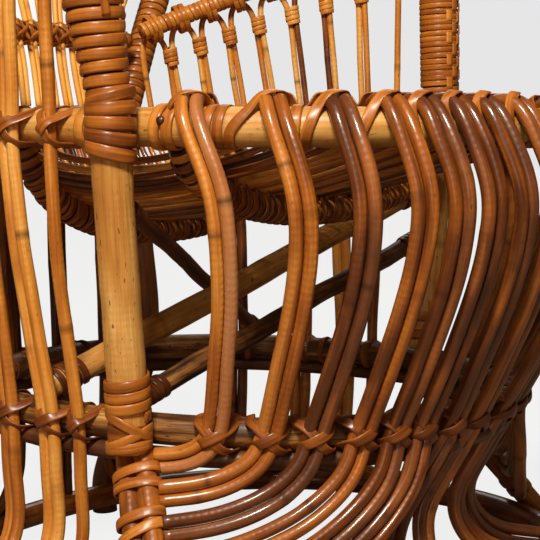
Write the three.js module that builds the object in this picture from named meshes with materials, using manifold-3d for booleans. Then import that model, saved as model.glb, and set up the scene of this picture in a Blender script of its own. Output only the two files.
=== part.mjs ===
import * as THREE from "three";
import { mergeVertices } from "three/addons/utils/BufferGeometryUtils.js";
import Module from "manifold-3d";

// A peacock chair of rattan poles and canes, in millimetres, +Z up, the sitter facing -Y.
// Three oval hoops (seat, waist, floor) carry it. Pairs of canes hang over the seat hoop, bulge
// in front of it, are lashed at the waist and sweep sideways to the front legs.
// Y = 0 is the line through the two front posts until the whole chair is centred at the end.

const wasm = await Module();
wasm.setup();

// Clearances between pieces that touch or are lashed together
const clearance = 0.3;
const lashingGap = 0.6;
const buttGap = 3.4; // cane ends stop this far from the leg they are tied to

// Oval plans: half width, reach in front of and behind the posts' line, height of the centre line
const planPower = 2.2;
const seatHoop = { halfWidth: 222, frontReach: 218, backReach: 300, height: 415, radius: 14.5 };
const waistHoop = { halfWidth: 205, frontReach: 161, backReach: 300, height: 187, radius: 12 };
const floorHoop = { halfWidth: 300, frontReach: 205, backReach: 330, height: 25, radius: 12 };
const underHoopRadius = 7;
const hoopJoint = 0.8; // gap where the two ends of a bent hoop meet at the back
const hoopSides = 8;
const hoopSteps = 32;

// Front posts, arm posts and legs
const postRadius = 15;
const postSides = 8;
const armPost = { footRadius: 13.5, topRadius: 19, length: 172, leanOut: 23, leanBack: 16 };
const legCaneRadius = 7.5;
const legPlaceShare = 0.72;
const backLegRadius = 13;

// Pairs of canes
const caneRadius = 5.2;
const neckAngle = 0.35; // radians, half the angle over which the two canes of a pair meet
const capAngle = 1.22; // radians, from a cane's outer side to the corner on its flank
const caneTail = 8; // stretch of cane on the inner side of the seat hoop
const bulge = 36;
const bulgeOutShare = 0.25;
const bulgePower = 0.62;
const seatPlaceShares = [0.82, 0.665, 0.545, 0.44, 0.35, 0.27, 0.19, 0.09];
const waistPlaceShares = [0.7, 0.58, 0.47, 0.38, 0.295, 0.215, 0.14, 0.055];
const floorPlaceShares = [0.36, 0.16];
const bulgeShares = [0.08, 0.2, 0.38, 0.58, 0.8];
const sweepShares = [0.22, 0.5, 0.76, 1];
const legPairs = 6;
const legPitchShare = 1.04; // of a pair's width, from one pair's end on the leg to the next
const sideSeatShares = [0.26, 0.44, 0.62, 0.8]; // places of side pairs from post to back hoop
const sideWaistShares = [0.19, 0.31, 0.49, 0.71];
const rearPlaceShares = [0.7, 0.28]; // places of the last pairs, of the back hoop's half width
const sideBulge = 9;
const sideSingles = 1; // the side canes nearest the post that stand alone
const sideTall = 2; // the first of them go on up past the seat hoop to the armrest
const singleSides = 6;
const flareShares = [0.32, 0.62];
const flareOutShares = [0.03, 0.3];

// Dished seat of canes on two cross beams
const deck = { sag: 66, caneRadius: 4.5, caneSpacing: 34, beamRadius: 10, sink: 2 };
const deckDepthPower = 0.5;
const deckSteps = 7;
const deckSides = 5;
const deckBeamPlaces = { front: -20, back: 150 };

// Braces under the seat
const thickBraceRadius = 11;
const thinBraceRadius = 6.5;
const braceDropBelowSeat = { upper: 66, lower: 104, thin: 60 };
const braceFrontPlace = 22;
const braceBackPlace = 110;
const thinBracePlace = 180;

// Arm panels: a wrapped rail over a chain of thin arches
const archRadius = 3.3;
const archSides = 4;
const archCount = 8;
const archFirstPlace = 52;
const archLastShare = 1.69;
const archDrop = { spring: 24, shoulder: 8 }; // below an arch's crown
const archShoulderPlace = 0.14; // share of an arch's span
const archFootShare = 0.95; // of the cane's radius, from an arch's end to its foot's middle
const archCrownDrop = 5; // the crowns lie this far under the middle of the panel rail
const panelRail = { radius: 9.5, frontRise: 176, backRise: 95 };
const armRailRadius = 13;
const armRailFront = 34; // overhang of the armrest in front of its post
const armRailTip = { inShare: 0.5, drop: 16.5 }; // its front end turns inwards and down
const armRailBend = { inShare: 0.125, frontShare: 0.75 };

// Back: an outer and an inner hoop, a low rail and a fan of paired canes in one tilted plane
const back = { height: 900, tilt: 0.175, hoopRadius: 14, innerRadius: 9, foot: 118 };
const backHoopSteps = 40;
const backFootDrop = 26;
const backRailRise = 88;
const backRailRadius = 9;
const fanRadius = 3.4;
const fanPairs = 15;
const fanFootSpacing = 14;
const fanHoopShare = 0.19; // share of the hoop's length below the outermost pair on each side
const fanFootRise = 6.8; // start of the fan's pairs above the seat hoop
const hoopWidthShares = [1, 1.25, 1.95, 2.9, 3.5, 3.644, 3.45, 2.8, 1.7, 0.6];
const hoopHeightShares = [0, 0.06, 0.2, 0.36, 0.52, 0.66, 0.8, 0.91, 0.98, 1];
const innerShare = 0.78;
const innerFootRise = 120;

// Windings of flat peel round the arm posts and the post feet
const peel = { width: 8.4, thickness: 3, pitch: 9.8 };
const footLoops = 3;
const loopSteps = 10;
const peelStart = 4;
const armLoops = Math.floor((armPost.length - peelStart - peel.width) / peel.pitch);
const footWrapStart = 16.8;

const finishes = {
  paleCane: { color: 0xd9a35a, roughness: 0.4 },
  honeyCane: { color: 0xb8702f, roughness: 0.35 },
  redCane: { color: 0x7a3a20, roughness: 0.35 },
  darkCane: { color: 0x5a341c, roughness: 0.5 },
  peel: { color: 0xa9602c, roughness: 0.4 },
};

const up = new THREE.Vector3(0, 0, 1);
const down = new THREE.Vector3(0, 0, -1);
const forward = new THREE.Vector3(0, -1, 0);
const quarter = Math.PI / 2;

// A path whose rings stand exactly at its own points, with the section's x axis along sideAt(point).
class CanePath extends THREE.CatmullRomCurve3 {
  constructor(points, sideAt, endTangent, startTangent) {
    super(points, false, "centripetal");
    this.sideAt = sideAt;
    this.endTangent = endTangent;
    this.startTangent = startTangent;
  }

  getSpacedPoints(divisions) {
    return this.getPoints(divisions);
  }

  computeFrenetFrames(segments) {
    const tangents = [];
    const normals = [];
    const binormals = [];
    for (let i = 0; i <= segments; i++) {
      const tangent = this.getTangent(i / segments);
      if (i === segments && this.endTangent) tangent.copy(this.endTangent);
      if (i === 0 && this.startTangent) tangent.copy(this.startTangent);
      const side = this.sideAt(this.getPoint(i / segments), tangent);
      side.projectOnPlane(tangent).normalize();
      tangents.push(tangent);
      normals.push(side);
      binormals.push(tangent.clone().cross(side));
    }
    return { tangents, normals, binormals };
  }
}

// Regular section whose flats, not its corners, lie on the true radius.
function roundSection(radius, sides) {
  const corner = radius / Math.cos(Math.PI / sides);
  const points = [];
  for (let i = 0; i < sides; i++) {
    const angle = ((i + 0.5) / sides) * 2 * Math.PI;
    points.push(new THREE.Vector2(corner * Math.cos(angle), corner * Math.sin(angle)));
  }
  return new THREE.Shape(points);
}

// Two round canes side by side along x, grown together over a narrow neck.
function pairSection(radius) {
  const spread = radius * Math.cos(neckAngle);
  const neck = radius * Math.sin(neckAngle);
  const corner = radius / Math.sin(capAngle);
  const flank = (side, angle) =>
    new THREE.Vector2(side * (spread + corner * Math.cos(angle)), corner * Math.sin(angle));
  return new THREE.Shape([
    new THREE.Vector2(0, -neck),
    flank(1, -capAngle),
    flank(1, 0),
    flank(1, capAngle),
    new THREE.Vector2(0, neck),
    flank(-1, capAngle),
    flank(-1, 0),
    flank(-1, -capAngle),
  ]);
}

function pairHalfWidth(radius) {
  return radius * Math.cos(neckAngle) + radius / Math.sin(capAngle);
}

// Sweeps a section along a path with one ring at each of its points.
function sweep(section, points, sideAt, endTangent, startTangent) {
  const extrudePath = new CanePath(points, sideAt, endTangent, startTangent);
  const steps = points.length - 1;
  return new THREE.ExtrudeGeometry(section, { steps, bevelEnabled: false, extrudePath });
}

function toSolid(geometry) {
  const bare = geometry.clone();
  bare.deleteAttribute("normal");
  bare.deleteAttribute("uv");
  const merged = mergeVertices(bare);
  return new wasm.Manifold(
    new wasm.Mesh({
      numProp: 3,
      vertProperties: merged.attributes.position.array,
      triVerts: new Uint32Array(merged.index.array),
    }),
  );
}

// Joins the canes that are lashed into one panel.
function fuse(geometries) {
  const solid = geometries.map(toSolid).reduce((all, next) => all.add(next));
  const mesh = solid.getMesh();
  const geometry = new THREE.BufferGeometry();
  geometry.setAttribute("position", new THREE.BufferAttribute(mesh.vertProperties, mesh.numProp));
  geometry.setIndex(new THREE.BufferAttribute(mesh.triVerts, 1));
  geometry.computeVertexNormals();
  return geometry;
}

function addPiece(parent, name, geometry, finish) {
  const mesh = new THREE.Mesh(geometry, new THREE.MeshStandardMaterial({ ...finish, metalness: 0 }));
  mesh.name = name;
  parent.add(mesh);
  return mesh;
}

function signedPower(value, power) {
  return Math.sign(value) * Math.abs(value) ** power;
}

function planMiddle(plan) {
  return (plan.backReach - plan.frontReach) / 2;
}

function planLength(plan) {
  return (plan.backReach + plan.frontReach) / 2;
}

// Outward horizontal normal of an oval plan; the angle runs from the front towards +X.
function planNormal(plan, angle) {
  const across = signedPower(Math.sin(angle), 2 / planPower);
  const along = signedPower(Math.cos(angle), 2 / planPower);
  return new THREE.Vector3(
    signedPower(across, planPower - 1) / plan.halfWidth,
    -signedPower(along, planPower - 1) / planLength(plan),
    0,
  ).normalize();
}

function planPoint(plan, angle, outward = 0, rise = 0) {
  const across = signedPower(Math.sin(angle), 2 / planPower);
  const along = signedPower(Math.cos(angle), 2 / planPower);
  const y = planMiddle(plan) - planLength(plan) * along;
  return new THREE.Vector3(plan.halfWidth * across, y, plan.height + rise).addScaledVector(
    planNormal(plan, angle),
    outward,
  );
}

function angleAtY(plan, y) {
  return Math.acos(signedPower((planMiddle(plan) - y) / planLength(plan), planPower / 2));
}

function angleAtX(plan, x) {
  return Math.PI - Math.asin((x / plan.halfWidth) ** (planPower / 2));
}

const verticalSide = () => up.clone();

// The thin dark hoop under the waist hoop, its outer face flush with it.
const flush = waistHoop.radius - underHoopRadius;
const underHoop = {
  halfWidth: waistHoop.halfWidth + flush,
  frontReach: waistHoop.frontReach + flush,
  backReach: waistHoop.backReach + flush,
  height: waistHoop.height - waistHoop.radius - underHoopRadius - clearance,
  radius: underHoopRadius,
};

// A pole bent round the whole oval, its ends butted at the back.
function hoopGeometry(plan) {
  const joint = Math.asin((hoopJoint / 2 / plan.halfWidth) ** (planPower / 2));
  const sweepAngle = 2 * (Math.PI - joint);
  const points = [];
  for (let i = 0; i <= hoopSteps; i++) {
    points.push(planPoint(plan, joint - Math.PI + (i / hoopSteps) * sweepAngle));
  }
  const section = roundSection(plan.radius, hoopSides);
  return sweep(section, points, verticalSide, new THREE.Vector3(-1, 0, 0));
}

// Centre of something of the given radius standing outside a hoop, on the line of the posts.
function postPlace(plan, side, radius, rise) {
  const outward = plan.radius + radius + lashingGap;
  return planPoint(plan, side * angleAtY(plan, 0), outward, rise);
}

function frontPost(side) {
  const low = -waistHoop.radius;
  const points = [
    postPlace(waistHoop, side, postRadius, low),
    postPlace(waistHoop, side, postRadius, waistHoop.radius),
    postPlace(seatHoop, side, postRadius, -seatHoop.radius),
    postPlace(seatHoop, side, postRadius, seatHoop.radius),
  ];
  return sweep(roundSection(postRadius, postSides), points, () => forward.clone(), up);
}

// The wrapped arm post: a tapered core in a frame that leans outwards and backwards.
function armPostFrame(side) {
  const frame = new THREE.Group();
  frame.position.copy(postPlace(seatHoop, side, postRadius, seatHoop.radius + lashingGap));
  frame.quaternion.setFromUnitVectors(up, armPostLean(side).normalize());
  return frame;
}

function armPostLean(side) {
  return new THREE.Vector3(side * armPost.leanOut, armPost.leanBack, armPost.length);
}

function armPostRadiusAt(height) {
  const share = height / armPost.length;
  return armPost.footRadius + (armPost.topRadius - armPost.footRadius) * share;
}

function armPostCore() {
  const base = armPost.footRadius * Math.sin(armPostTilt());
  const profile = [
    new THREE.Vector2(0, base),
    new THREE.Vector2(armPost.footRadius, base),
    new THREE.Vector2(armPost.topRadius, armPost.length),
    new THREE.Vector2(0, armPost.length),
  ];
  const core = new THREE.LatheGeometry(profile, 2 * postSides);
  core.rotateX(quarter);
  return core;
}

function armPostTilt() {
  return Math.atan(Math.hypot(armPost.leanOut, armPost.leanBack) / armPost.length);
}

function rectangleSection(width, thickness) {
  const x = width / 2;
  const y = thickness / 2;
  return new THREE.Shape([
    new THREE.Vector2(-x, -y),
    new THREE.Vector2(x, -y),
    new THREE.Vector2(x, y),
    new THREE.Vector2(-x, y),
  ]);
}

// One unbroken peel wound up a core: radiusAt gives the core's radius at a height.
function windingPoints(loops, start, radiusAt) {
  const points = [];
  const turn = (2 * Math.PI) / loopSteps;
  const at = (step) => {
    const height = start + (step / loopSteps) * peel.pitch;
    const middle = (radiusAt(height) + clearance + peel.thickness / 2) / Math.cos(turn / 2);
    return new THREE.Vector3(
      middle * Math.cos(step * turn),
      middle * Math.sin(step * turn),
      height,
    );
  };
  for (let step = 0; step <= loops * loopSteps; step++) points.push(at(step));
  return points;
}

function winding(name, loops, start, radiusAt) {
  const points = windingPoints(loops, start, radiusAt);
  reportGap(name, points);
  return sweep(rectangleSection(peel.width, peel.thickness), points, verticalSide);
}

// Prints the least gap between neighbouring loops, measured on the points of the winding.
function reportGap(name, points) {
  let least = Infinity;
  for (let i = 0; i + loopSteps < points.length; i++) {
    for (let j = i + loopSteps - 2; j < Math.min(points.length, i + loopSteps + 3); j++) {
      least = Math.min(least, points[i].distanceTo(points[j]) - peel.width);
    }
  }
  console.log(name + ": least gap between loops " + least.toFixed(2) + " mm");
}

// Front leg: two canes side by side from the foot of the post, past the floor hoop to the floor.
function legPoints(side) {
  const top = -waistHoop.radius - lashingGap;
  const outward = floorHoop.radius + legCaneRadius + lashingGap;
  const head = postPlace(waistHoop, side, legCaneRadius, top);
  const knee = planPoint(floorHoop, side * legPlaceShare * quarter, outward, floorHoop.radius);
  const step = knee.clone().sub(head);
  const foot = knee.clone().addScaledVector(step, knee.z / (head.z - knee.z));
  foot.z = 0;
  return [head, knee, foot];
}

function legPointAt(side, height) {
  const [head, knee] = legPoints(side);
  return head.clone().lerp(knee, (head.z - height) / (head.z - knee.z));
}

// The way along the hoops, towards the front, at a height of the leg.
function legAlong(side, height) {
  const atWaist = planNormal(waistHoop, side * angleAtY(waistHoop, 0)).cross(up);
  const atFloor = planNormal(floorHoop, side * legPlaceShare * quarter).cross(up);
  const share = THREE.MathUtils.clamp(
    (height - floorHoop.height) / (waistHoop.height - floorHoop.height), 0, 1);
  return atFloor.lerp(atWaist, share).normalize().multiplyScalar(side);
}

function frontLeg(side) {
  const sideAt = (point) => legAlong(side, point.z);
  return sweep(pairSection(legCaneRadius), legPoints(side), sideAt, down, down);
}

// Distance of a cane's centre line from a hoop's when its rings stand over the hoop's corners.
function overDistance(plan, radius) {
  return (plan.radius + radius + clearance) / Math.cos(Math.PI / hoopSides);
}

// Points where a cane comes over the seat hoop from the inside.
function overHoop(angle) {
  const normal = planNormal(seatHoop, angle);
  const centre = planPoint(seatHoop, angle);
  const reach = overDistance(seatHoop, caneRadius);
  const step = Math.PI / hoopSides;
  const at = (turn) =>
    centre
      .clone()
      .addScaledVector(normal, reach * Math.cos(turn))
      .addScaledVector(up, reach * Math.sin(turn));
  const points = [at(5 * step), at(3 * step), at(step)];
  points.unshift(points[0].clone().addScaledVector(normal, -caneTail));
  return points;
}

// The way out of the chair beside a cane that runs from one hoop's angle to the other's.
function outwardBetween(seatAngle, waistAngle, height) {
  const share = (seatHoop.height - height) / (seatHoop.height - waistHoop.height);
  const atSeat = planNormal(seatHoop, seatAngle);
  return atSeat.lerp(planNormal(waistHoop, waistAngle), THREE.MathUtils.clamp(share, 0, 1));
}

// The side of a pair: square to its run and to the way out of the chair at that point.
function pairSide(seatAngle, waistAngle) {
  const centre = planPoint(seatHoop, seatAngle);
  return (point, tangent) => {
    const out = outwardBetween(seatAngle, waistAngle, point.z);
    if (point.z > centre.z) out.copy(point).sub(centre);
    if (point.z < underHoop.height - underHoop.radius) out.copy(point).setZ(0);
    return tangent.clone().cross(out);
  };
}

// The free stretch between seat and waist, swelling forwards and a little outwards.
function bulgePoints(seatAngle, waistAngle, amount, direction) {
  const from = planPoint(seatHoop, seatAngle, seatHoop.radius + caneRadius + clearance);
  const to = waistPlace(waistAngle);
  return bulgeShares.map((share) => {
    const swell = Math.sin(Math.PI * share ** bulgePower);
    return from.clone().lerp(to, share).addScaledVector(direction, amount * swell);
  });
}

function waistPlace(angle) {
  return planPoint(waistHoop, angle, waistHoop.radius + caneRadius + lashingGap + clearance);
}

// A quarter of an ellipse from the waist down to an end point, flattening as it arrives.
function sweepPoints(from, to) {
  return sweepShares.map((share) => {
    const turn = share * quarter;
    const point = from.clone().lerp(to, 1 - Math.cos(turn));
    point.z = from.z + (to.z - from.z) * Math.sin(turn);
    return point;
  });
}

// Where the nth pair from the post ends against the front leg.
function legEnd(side, index) {
  const height = underHoop.height - 2 * pairHalfWidth(caneRadius) * legPitchShare * index;
  const axis = legPointAt(side, height);
  const reach = pairHalfWidth(legCaneRadius) + buttGap;
  return axis.addScaledVector(legAlong(side, height), reach);
}

function skirtPair(side, index) {
  const seatAngle = side * seatPlaceShares[index] * quarter;
  const waistAngle = side * waistPlaceShares[index] * quarter;
  const direction = forward
    .clone()
    .addScaledVector(planNormal(seatHoop, seatAngle), bulgeOutShare)
    .normalize();
  const waist = waistPlace(waistAngle);
  const points = [
    ...overHoop(seatAngle),
    ...bulgePoints(seatAngle, waistAngle, bulge, direction),
    waist,
  ];
  if (index < legPairs) {
    points.push(...sweepPoints(waist, legEnd(side, index)));
    return sweep(pairSection(caneRadius), points, pairSide(seatAngle, waistAngle));
  }
  const floorAngle = side * floorPlaceShares[index - legPairs] * quarter;
  const end = planPoint(floorHoop, floorAngle, 0, floorHoop.radius + clearance);
  points.push(...flarePoints(waist, end));
  return sweep(pairSection(caneRadius), points, pairSide(seatAngle, waistAngle), down);
}

// Below the waist a side pair falls straight at first and then flares out to the floor hoop.
function flarePoints(from, to) {
  const points = flareShares.map((share, i) => {
    const point = from.clone().lerp(to, flareOutShares[i]);
    point.z = from.z + (to.z - from.z) * share;
    return point;
  });
  return [...points, to];
}

// The canes beside the post run on past the seat hoop, up the inner side of the armrest.
function sideHead(side, index, start, frame) {
  const { top, end } = armRailLine(side, frame);
  const head = top.clone().lerp(end, (start.y - top.y) / (end.y - top.y));
  const half = index < sideSingles ? caneRadius : pairHalfWidth(caneRadius);
  const across = end.clone().sub(top).cross(up).normalize();
  const beside = (armRailRadius + half) / Math.cos(Math.PI / hoopSides) + lashingGap;
  head.addScaledVector(across, -side * beside);
  head.z += armRailRadius;
  return [head, head.clone().lerp(start, 1 / 2)];
}

// A hoop's angle at a side pair: shares of the way to the back hoop's foot, then places within it.
function sideAngle(plan, shares, index) {
  if (index >= shares.length) {
    return angleAtX(plan, back.foot * rearPlaceShares[index - shares.length]);
  }
  const post = angleAtY(plan, 0);
  return post + (angleAtX(plan, back.foot) - post) * shares[index];
}

function sidePair(side, index, frame) {
  const seatAngle = side * sideAngle(seatHoop, sideSeatShares, index);
  const waistAngle = side * sideAngle(waistHoop, sideWaistShares, index);
  const waist = waistPlace(waistAngle);
  const end = planPoint(floorHoop, waistAngle, 0, floorHoop.radius + clearance);
  const normal = planNormal(seatHoop, seatAngle);
  const outward = seatHoop.radius + caneRadius + lashingGap;
  const start = planPoint(seatHoop, seatAngle, outward, seatHoop.radius);
  const points = [
    ...(index < sideTall ? sideHead(side, index, start, frame) : []),
    start,
    planPoint(seatHoop, seatAngle, outward, -seatHoop.radius),
    ...bulgePoints(seatAngle, waistAngle, sideBulge, normal).slice(2, -1),
    waist,
    ...flarePoints(waist, end),
  ];
  const section = index < sideSingles ? roundSection(caneRadius, singleSides) : pairSection(caneRadius);
  const sideAt = (point) => outwardBetween(seatAngle, waistAngle, point.z).cross(up);
  return sweep(section, points, sideAt, down);
}

// The dish of the seat: an oval bowl that hangs steeply from the hoop and is flat in the middle.
const deckInset = seatHoop.radius + deck.caneRadius / Math.cos(Math.PI / deckSides) + clearance;
const deckPlan = {
  halfWidth: seatHoop.halfWidth - deckInset,
  frontReach: seatHoop.frontReach - deckInset,
  backReach: seatHoop.backReach - deckInset,
};

function deckHeight(x, y) {
  const across = Math.abs(x / deckPlan.halfWidth) ** planPower;
  const along = Math.abs((y - planMiddle(deckPlan)) / planLength(deckPlan)) ** planPower;
  return seatHoop.height - deck.sag * Math.max(0, 1 - across - along) ** deckDepthPower;
}

function deckCane(x) {
  const room = (1 - Math.abs(x / deckPlan.halfWidth) ** planPower) ** (1 / planPower);
  const points = [];
  for (let i = 0; i <= deckSteps; i++) {
    const along = -Math.cos((i / deckSteps) * Math.PI) * room * planLength(deckPlan);
    const y = planMiddle(deckPlan) + along;
    points.push(new THREE.Vector3(x, y, deckHeight(x, y)));
  }
  return sweep(roundSection(deck.caneRadius, deckSides), points, () => new THREE.Vector3(1, 0, 0));
}

function deckBeam(y) {
  const along = Math.abs((y - planMiddle(deckPlan)) / planLength(deckPlan)) ** planPower;
  const reach = deckPlan.halfWidth * (1 - along) ** (1 / planPower) - deck.beamRadius;
  const drop = deck.caneRadius + deck.beamRadius - deck.sink;
  const points = [];
  for (let i = 0; i <= deckSteps; i++) {
    const x = -Math.cos((i / deckSteps) * Math.PI) * reach;
    points.push(new THREE.Vector3(x, y, deckHeight(x, y) - drop));
  }
  return sweep(roundSection(deck.beamRadius, hoopSides), points, () => forward.clone());
}

function seatDeck() {
  const pieces = [deckBeam(deckBeamPlaces.front), deckBeam(deckBeamPlaces.back)];
  // The outermost canes lie well inside the oval, where both beams still cross them.
  const canesPerSide = Math.floor((deckPlan.halfWidth - 2 * deck.beamRadius) / deck.caneSpacing);
  for (let i = -canesPerSide; i <= canesPerSide; i++) {
    pieces.push(deckCane(i * deck.caneSpacing));
  }
  return fuse(pieces);
}

// A straight brace between two points, its ends cut square.
function brace(from, to, radius) {
  return sweep(roundSection(radius, hoopSides), [from, to], verticalSide);
}

// Where a brace meets the inner side of a front post, a given drop under the seat hoop.
function postInside(side, drop, radius, place = 0) {
  const seatEnd = postPlace(seatHoop, side, postRadius, 0);
  const waistEnd = postPlace(waistHoop, side, postRadius, 0);
  const share = drop / (seatHoop.height - waistHoop.height);
  const point = seatEnd.lerp(waistEnd, share);
  point.x -= side * (postRadius + radius);
  point.y += place;
  return point;
}

function onWaist(side, y, radius) {
  const rise = waistHoop.radius + radius + clearance;
  return planPoint(waistHoop, side * angleAtY(waistHoop, y), 0, rise);
}

function addBraces(chair) {
  const { upper, lower, thin } = braceDropBelowSeat;
  const thick = thickBraceRadius;
  addPiece(chair, "brace_upper", brace(
    onWaist(-1, braceBackPlace, thick), postInside(1, upper, thick), thick), finishes.paleCane);
  addPiece(chair, "brace_lower", brace(
    onWaist(-1, braceFrontPlace, thick), postInside(1, lower, thick), thick), finishes.paleCane);
  addPiece(chair, "brace_thin", brace(
    postInside(-1, thin, thinBraceRadius, thinBraceRadius),
    onWaist(1, thinBracePlace, thinBraceRadius),
    thinBraceRadius,
  ), finishes.darkCane);
}

// Height of the panel rail above the seat hoop, falling from the arm post to the back.
function panelRise(angle) {
  const front = angleAtY(seatHoop, archFirstPlace);
  const share = (angle - front) / (archLastShare * quarter - front);
  return panelRail.frontRise + (panelRail.backRise - panelRail.frontRise) * share;
}

function archAngle(place) {
  const front = angleAtY(seatHoop, archFirstPlace);
  return front + (place / archCount) * (archLastShare * quarter - front);
}

// One arch of thin cane, standing on the seat hoop and passing outside the panel rail.
function arch(side, index) {
  const inset = (archFootShare * archRadius) / archSpan();
  const start = archAngle(index + inset);
  const end = archAngle(index + 1 - inset);
  const foot = seatHoop.radius + clearance;
  const at = (share, rise) => planPoint(seatHoop, side * (start + (end - start) * share), 0, rise);
  const crown = panelRise((start + end) / 2) - archCrownDrop;
  const spring = crown - archDrop.spring;
  const shoulder = crown - archDrop.shoulder;
  const points = [
    at(0, foot),
    at(0, spring),
    at(archShoulderPlace, shoulder),
    at(1 / 2, crown),
    at(1 - archShoulderPlace, shoulder),
    at(1, spring),
    at(1, foot),
  ];
  const normal = planNormal(seatHoop, (side * (start + end)) / 2);
  return sweep(roundSection(archRadius, archSides), points, () => normal.clone(), down);
}

function archSpan() {
  return planPoint(seatHoop, archAngle(0)).distanceTo(planPoint(seatHoop, archAngle(1)));
}

function archPanel(side) {
  const arches = [];
  for (let i = 0; i < archCount; i++) arches.push(arch(side, i));
  return fuse(arches);
}

function armPostPointAt(side, height) {
  const base = postPlace(seatHoop, side, postRadius, seatHoop.radius + lashingGap);
  return base.addScaledVector(armPostLean(side), height / armPost.length);
}

function panelRailGeometry(side) {
  const inward = -(panelRail.radius + archRadius + lashingGap);
  const points = [];
  for (let i = 0; i <= archCount; i++) {
    const angle = archAngle(i);
    points.unshift(planPoint(seatHoop, side * angle, inward, panelRise(angle)));
  }
  const first = points[points.length - 1];
  const post = armPostPointAt(side, panelRail.frontRise - seatHoop.radius);
  const reach = armPost.topRadius + peel.thickness + panelRail.radius;
  const away = first.clone().sub(post).setZ(0).normalize();
  points.push(post.addScaledVector(away, reach).setZ(first.z));
  return sweep(roundSection(panelRail.radius, hoopSides), points, verticalSide);
}

// The back lies in one tilted plane: x across, y up the slope, drawn in the back's own frame.
function hoopOutline(widthScale, heightScale, footRise) {
  const half = hoopWidthShares.map((share, i) => {
    const rise = footRise + (heightScale - footRise) * hoopHeightShares[i];
    return new THREE.Vector3(share * widthScale, 0, rise);
  });
  const mirrored = half.map((p) => new THREE.Vector3(-p.x, p.y, p.z)).reverse();
  return [...half, ...mirrored];
}

function backFrame() {
  const angle = angleAtX(seatHoop, back.foot);
  const outward = seatHoop.radius + back.hoopRadius + lashingGap;
  const slope = planNormal(seatHoop, angle);
  const y = planPoint(seatHoop, angle).y + outward / (slope.y * Math.cos(back.tilt));
  const frame = new THREE.Group();
  frame.position.set(0, y, seatHoop.height);
  frame.rotation.x = -back.tilt;
  return frame;
}

function outerHoopPoints() {
  const points = hoopOutline(back.foot, back.height, 0);
  const drop = new THREE.Vector3(0, 0, -backFootDrop);
  points.unshift(points[0].clone().add(drop));
  points.push(points[points.length - 1].clone().add(drop));
  return points;
}

const backNormal = () => new THREE.Vector3(0, 1, 0);

function outerHoop() {
  const section = roundSection(back.hoopRadius, hoopSides);
  return sweep(section, smoothed(outerHoopPoints()), backNormal, down, up);
}

function innerHoop() {
  const points = hoopOutline(back.foot * innerShare, back.height * innerShare, innerFootRise);
  for (const point of points) point.y = back.innerRadius - back.hoopRadius;
  const section = roundSection(back.innerRadius, hoopSides);
  return sweep(section, smoothed(points), backNormal, down, up);
}

// The same bend with more rings than it was drawn with, its two ends left straight.
function smoothed(points) {
  const bend = new THREE.CatmullRomCurve3(points.slice(1, -1), false, "centripetal");
  return [points[0], ...bend.getPoints(backHoopSteps), points[points.length - 1]];
}

// Half width of the outer hoop at a height on the back.
function hoopHalfWidthAt(rise) {
  const points = outerHoopPoints();
  const i = points.findIndex((p) => p.z > rise);
  const below = points[i - 1];
  const above = points[i];
  return below.x + ((above.x - below.x) * (rise - below.z)) / (above.z - below.z);
}

// Paired canes that spread from the low rail to points set evenly along the outer hoop.
function backFan() {
  const plane = -(back.hoopRadius + fanRadius + lashingGap);
  const outline = hoopOutline(back.foot, back.height, 0);
  const hoop = new THREE.CatmullRomCurve3(outline, false, "centripetal");
  const across = (point, tangent) => backNormal().cross(tangent);
  const pieces = [];
  for (let i = 0; i < fanPairs; i++) {
    const x = ((fanPairs - 1) / 2 - i) * fanFootSpacing;
    const share = fanHoopShare + (1 - 2 * fanHoopShare) * (i / (fanPairs - 1));
    const points = [
      new THREE.Vector3(x, plane, seatHoop.radius + fanFootRise),
      new THREE.Vector3(x, plane, backRailRise),
      hoop.getPointAt(share).setY(plane),
    ];
    pieces.push(sweep(pairSection(fanRadius), points, across));
  }
  const reach = hoopHalfWidthAt(backRailRise) - back.hoopRadius - backRailRadius;
  pieces.push(brace(
    new THREE.Vector3(-reach, plane, backRailRise),
    new THREE.Vector3(reach, plane, backRailRise),
    backRailRadius,
  ));
  return fuse(pieces);
}

// The back leg carries on the foot of the outer hoop down to the floor.
function backLeg(side, frame) {
  const toWorld = (p) => frame.localToWorld(p);
  const foot = new THREE.Vector3(side * back.foot, 0, -backFootDrop - lashingGap);
  const lean = new THREE.Vector3(side * back.foot, 0, -backFootDrop - 2 * back.hoopRadius);
  const head = toWorld(foot);
  const below = toWorld(lean);
  const outward = backLegRadius / Math.cos(Math.PI / hoopSides) + clearance;
  const waistAngle = side * angleAtX(waistHoop, back.foot);
  const floorAngle = side * angleAtX(floorHoop, back.foot);
  const waist = planPoint(waistHoop, waistAngle, waistHoop.radius + outward);
  const knee = planPoint(floorHoop, floorAngle, floorHoop.radius + outward, floorHoop.radius);
  const ankle = knee.clone().setZ(0);
  const points = [ankle, knee, waist, below, head];
  const lying = new THREE.Vector3(0, Math.sin(back.tilt), Math.cos(back.tilt));
  return sweep(roundSection(backLegRadius, hoopSides), points, () => forward.clone(), lying);
}

// The level run of the armrest, from over the arm post to the front of the outer hoop.
function armRailLine(side, frame) {
  const top = armPostPointAt(side, armPost.length);
  top.z += armRailRadius + armPost.topRadius * Math.sin(armPostTilt()) + lashingGap;
  const hoopRise = (top.z - seatHoop.height) / Math.cos(back.tilt);
  const hoop = frame.localToWorld(new THREE.Vector3(side * hoopHalfWidthAt(hoopRise), 0, hoopRise));
  const room = (back.hoopRadius + armRailRadius * Math.sin(back.tilt) + lashingGap) /
    Math.cos(back.tilt);
  const end = hoop.clone().setZ(top.z);
  end.y -= room;
  return { top, end };
}

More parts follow.
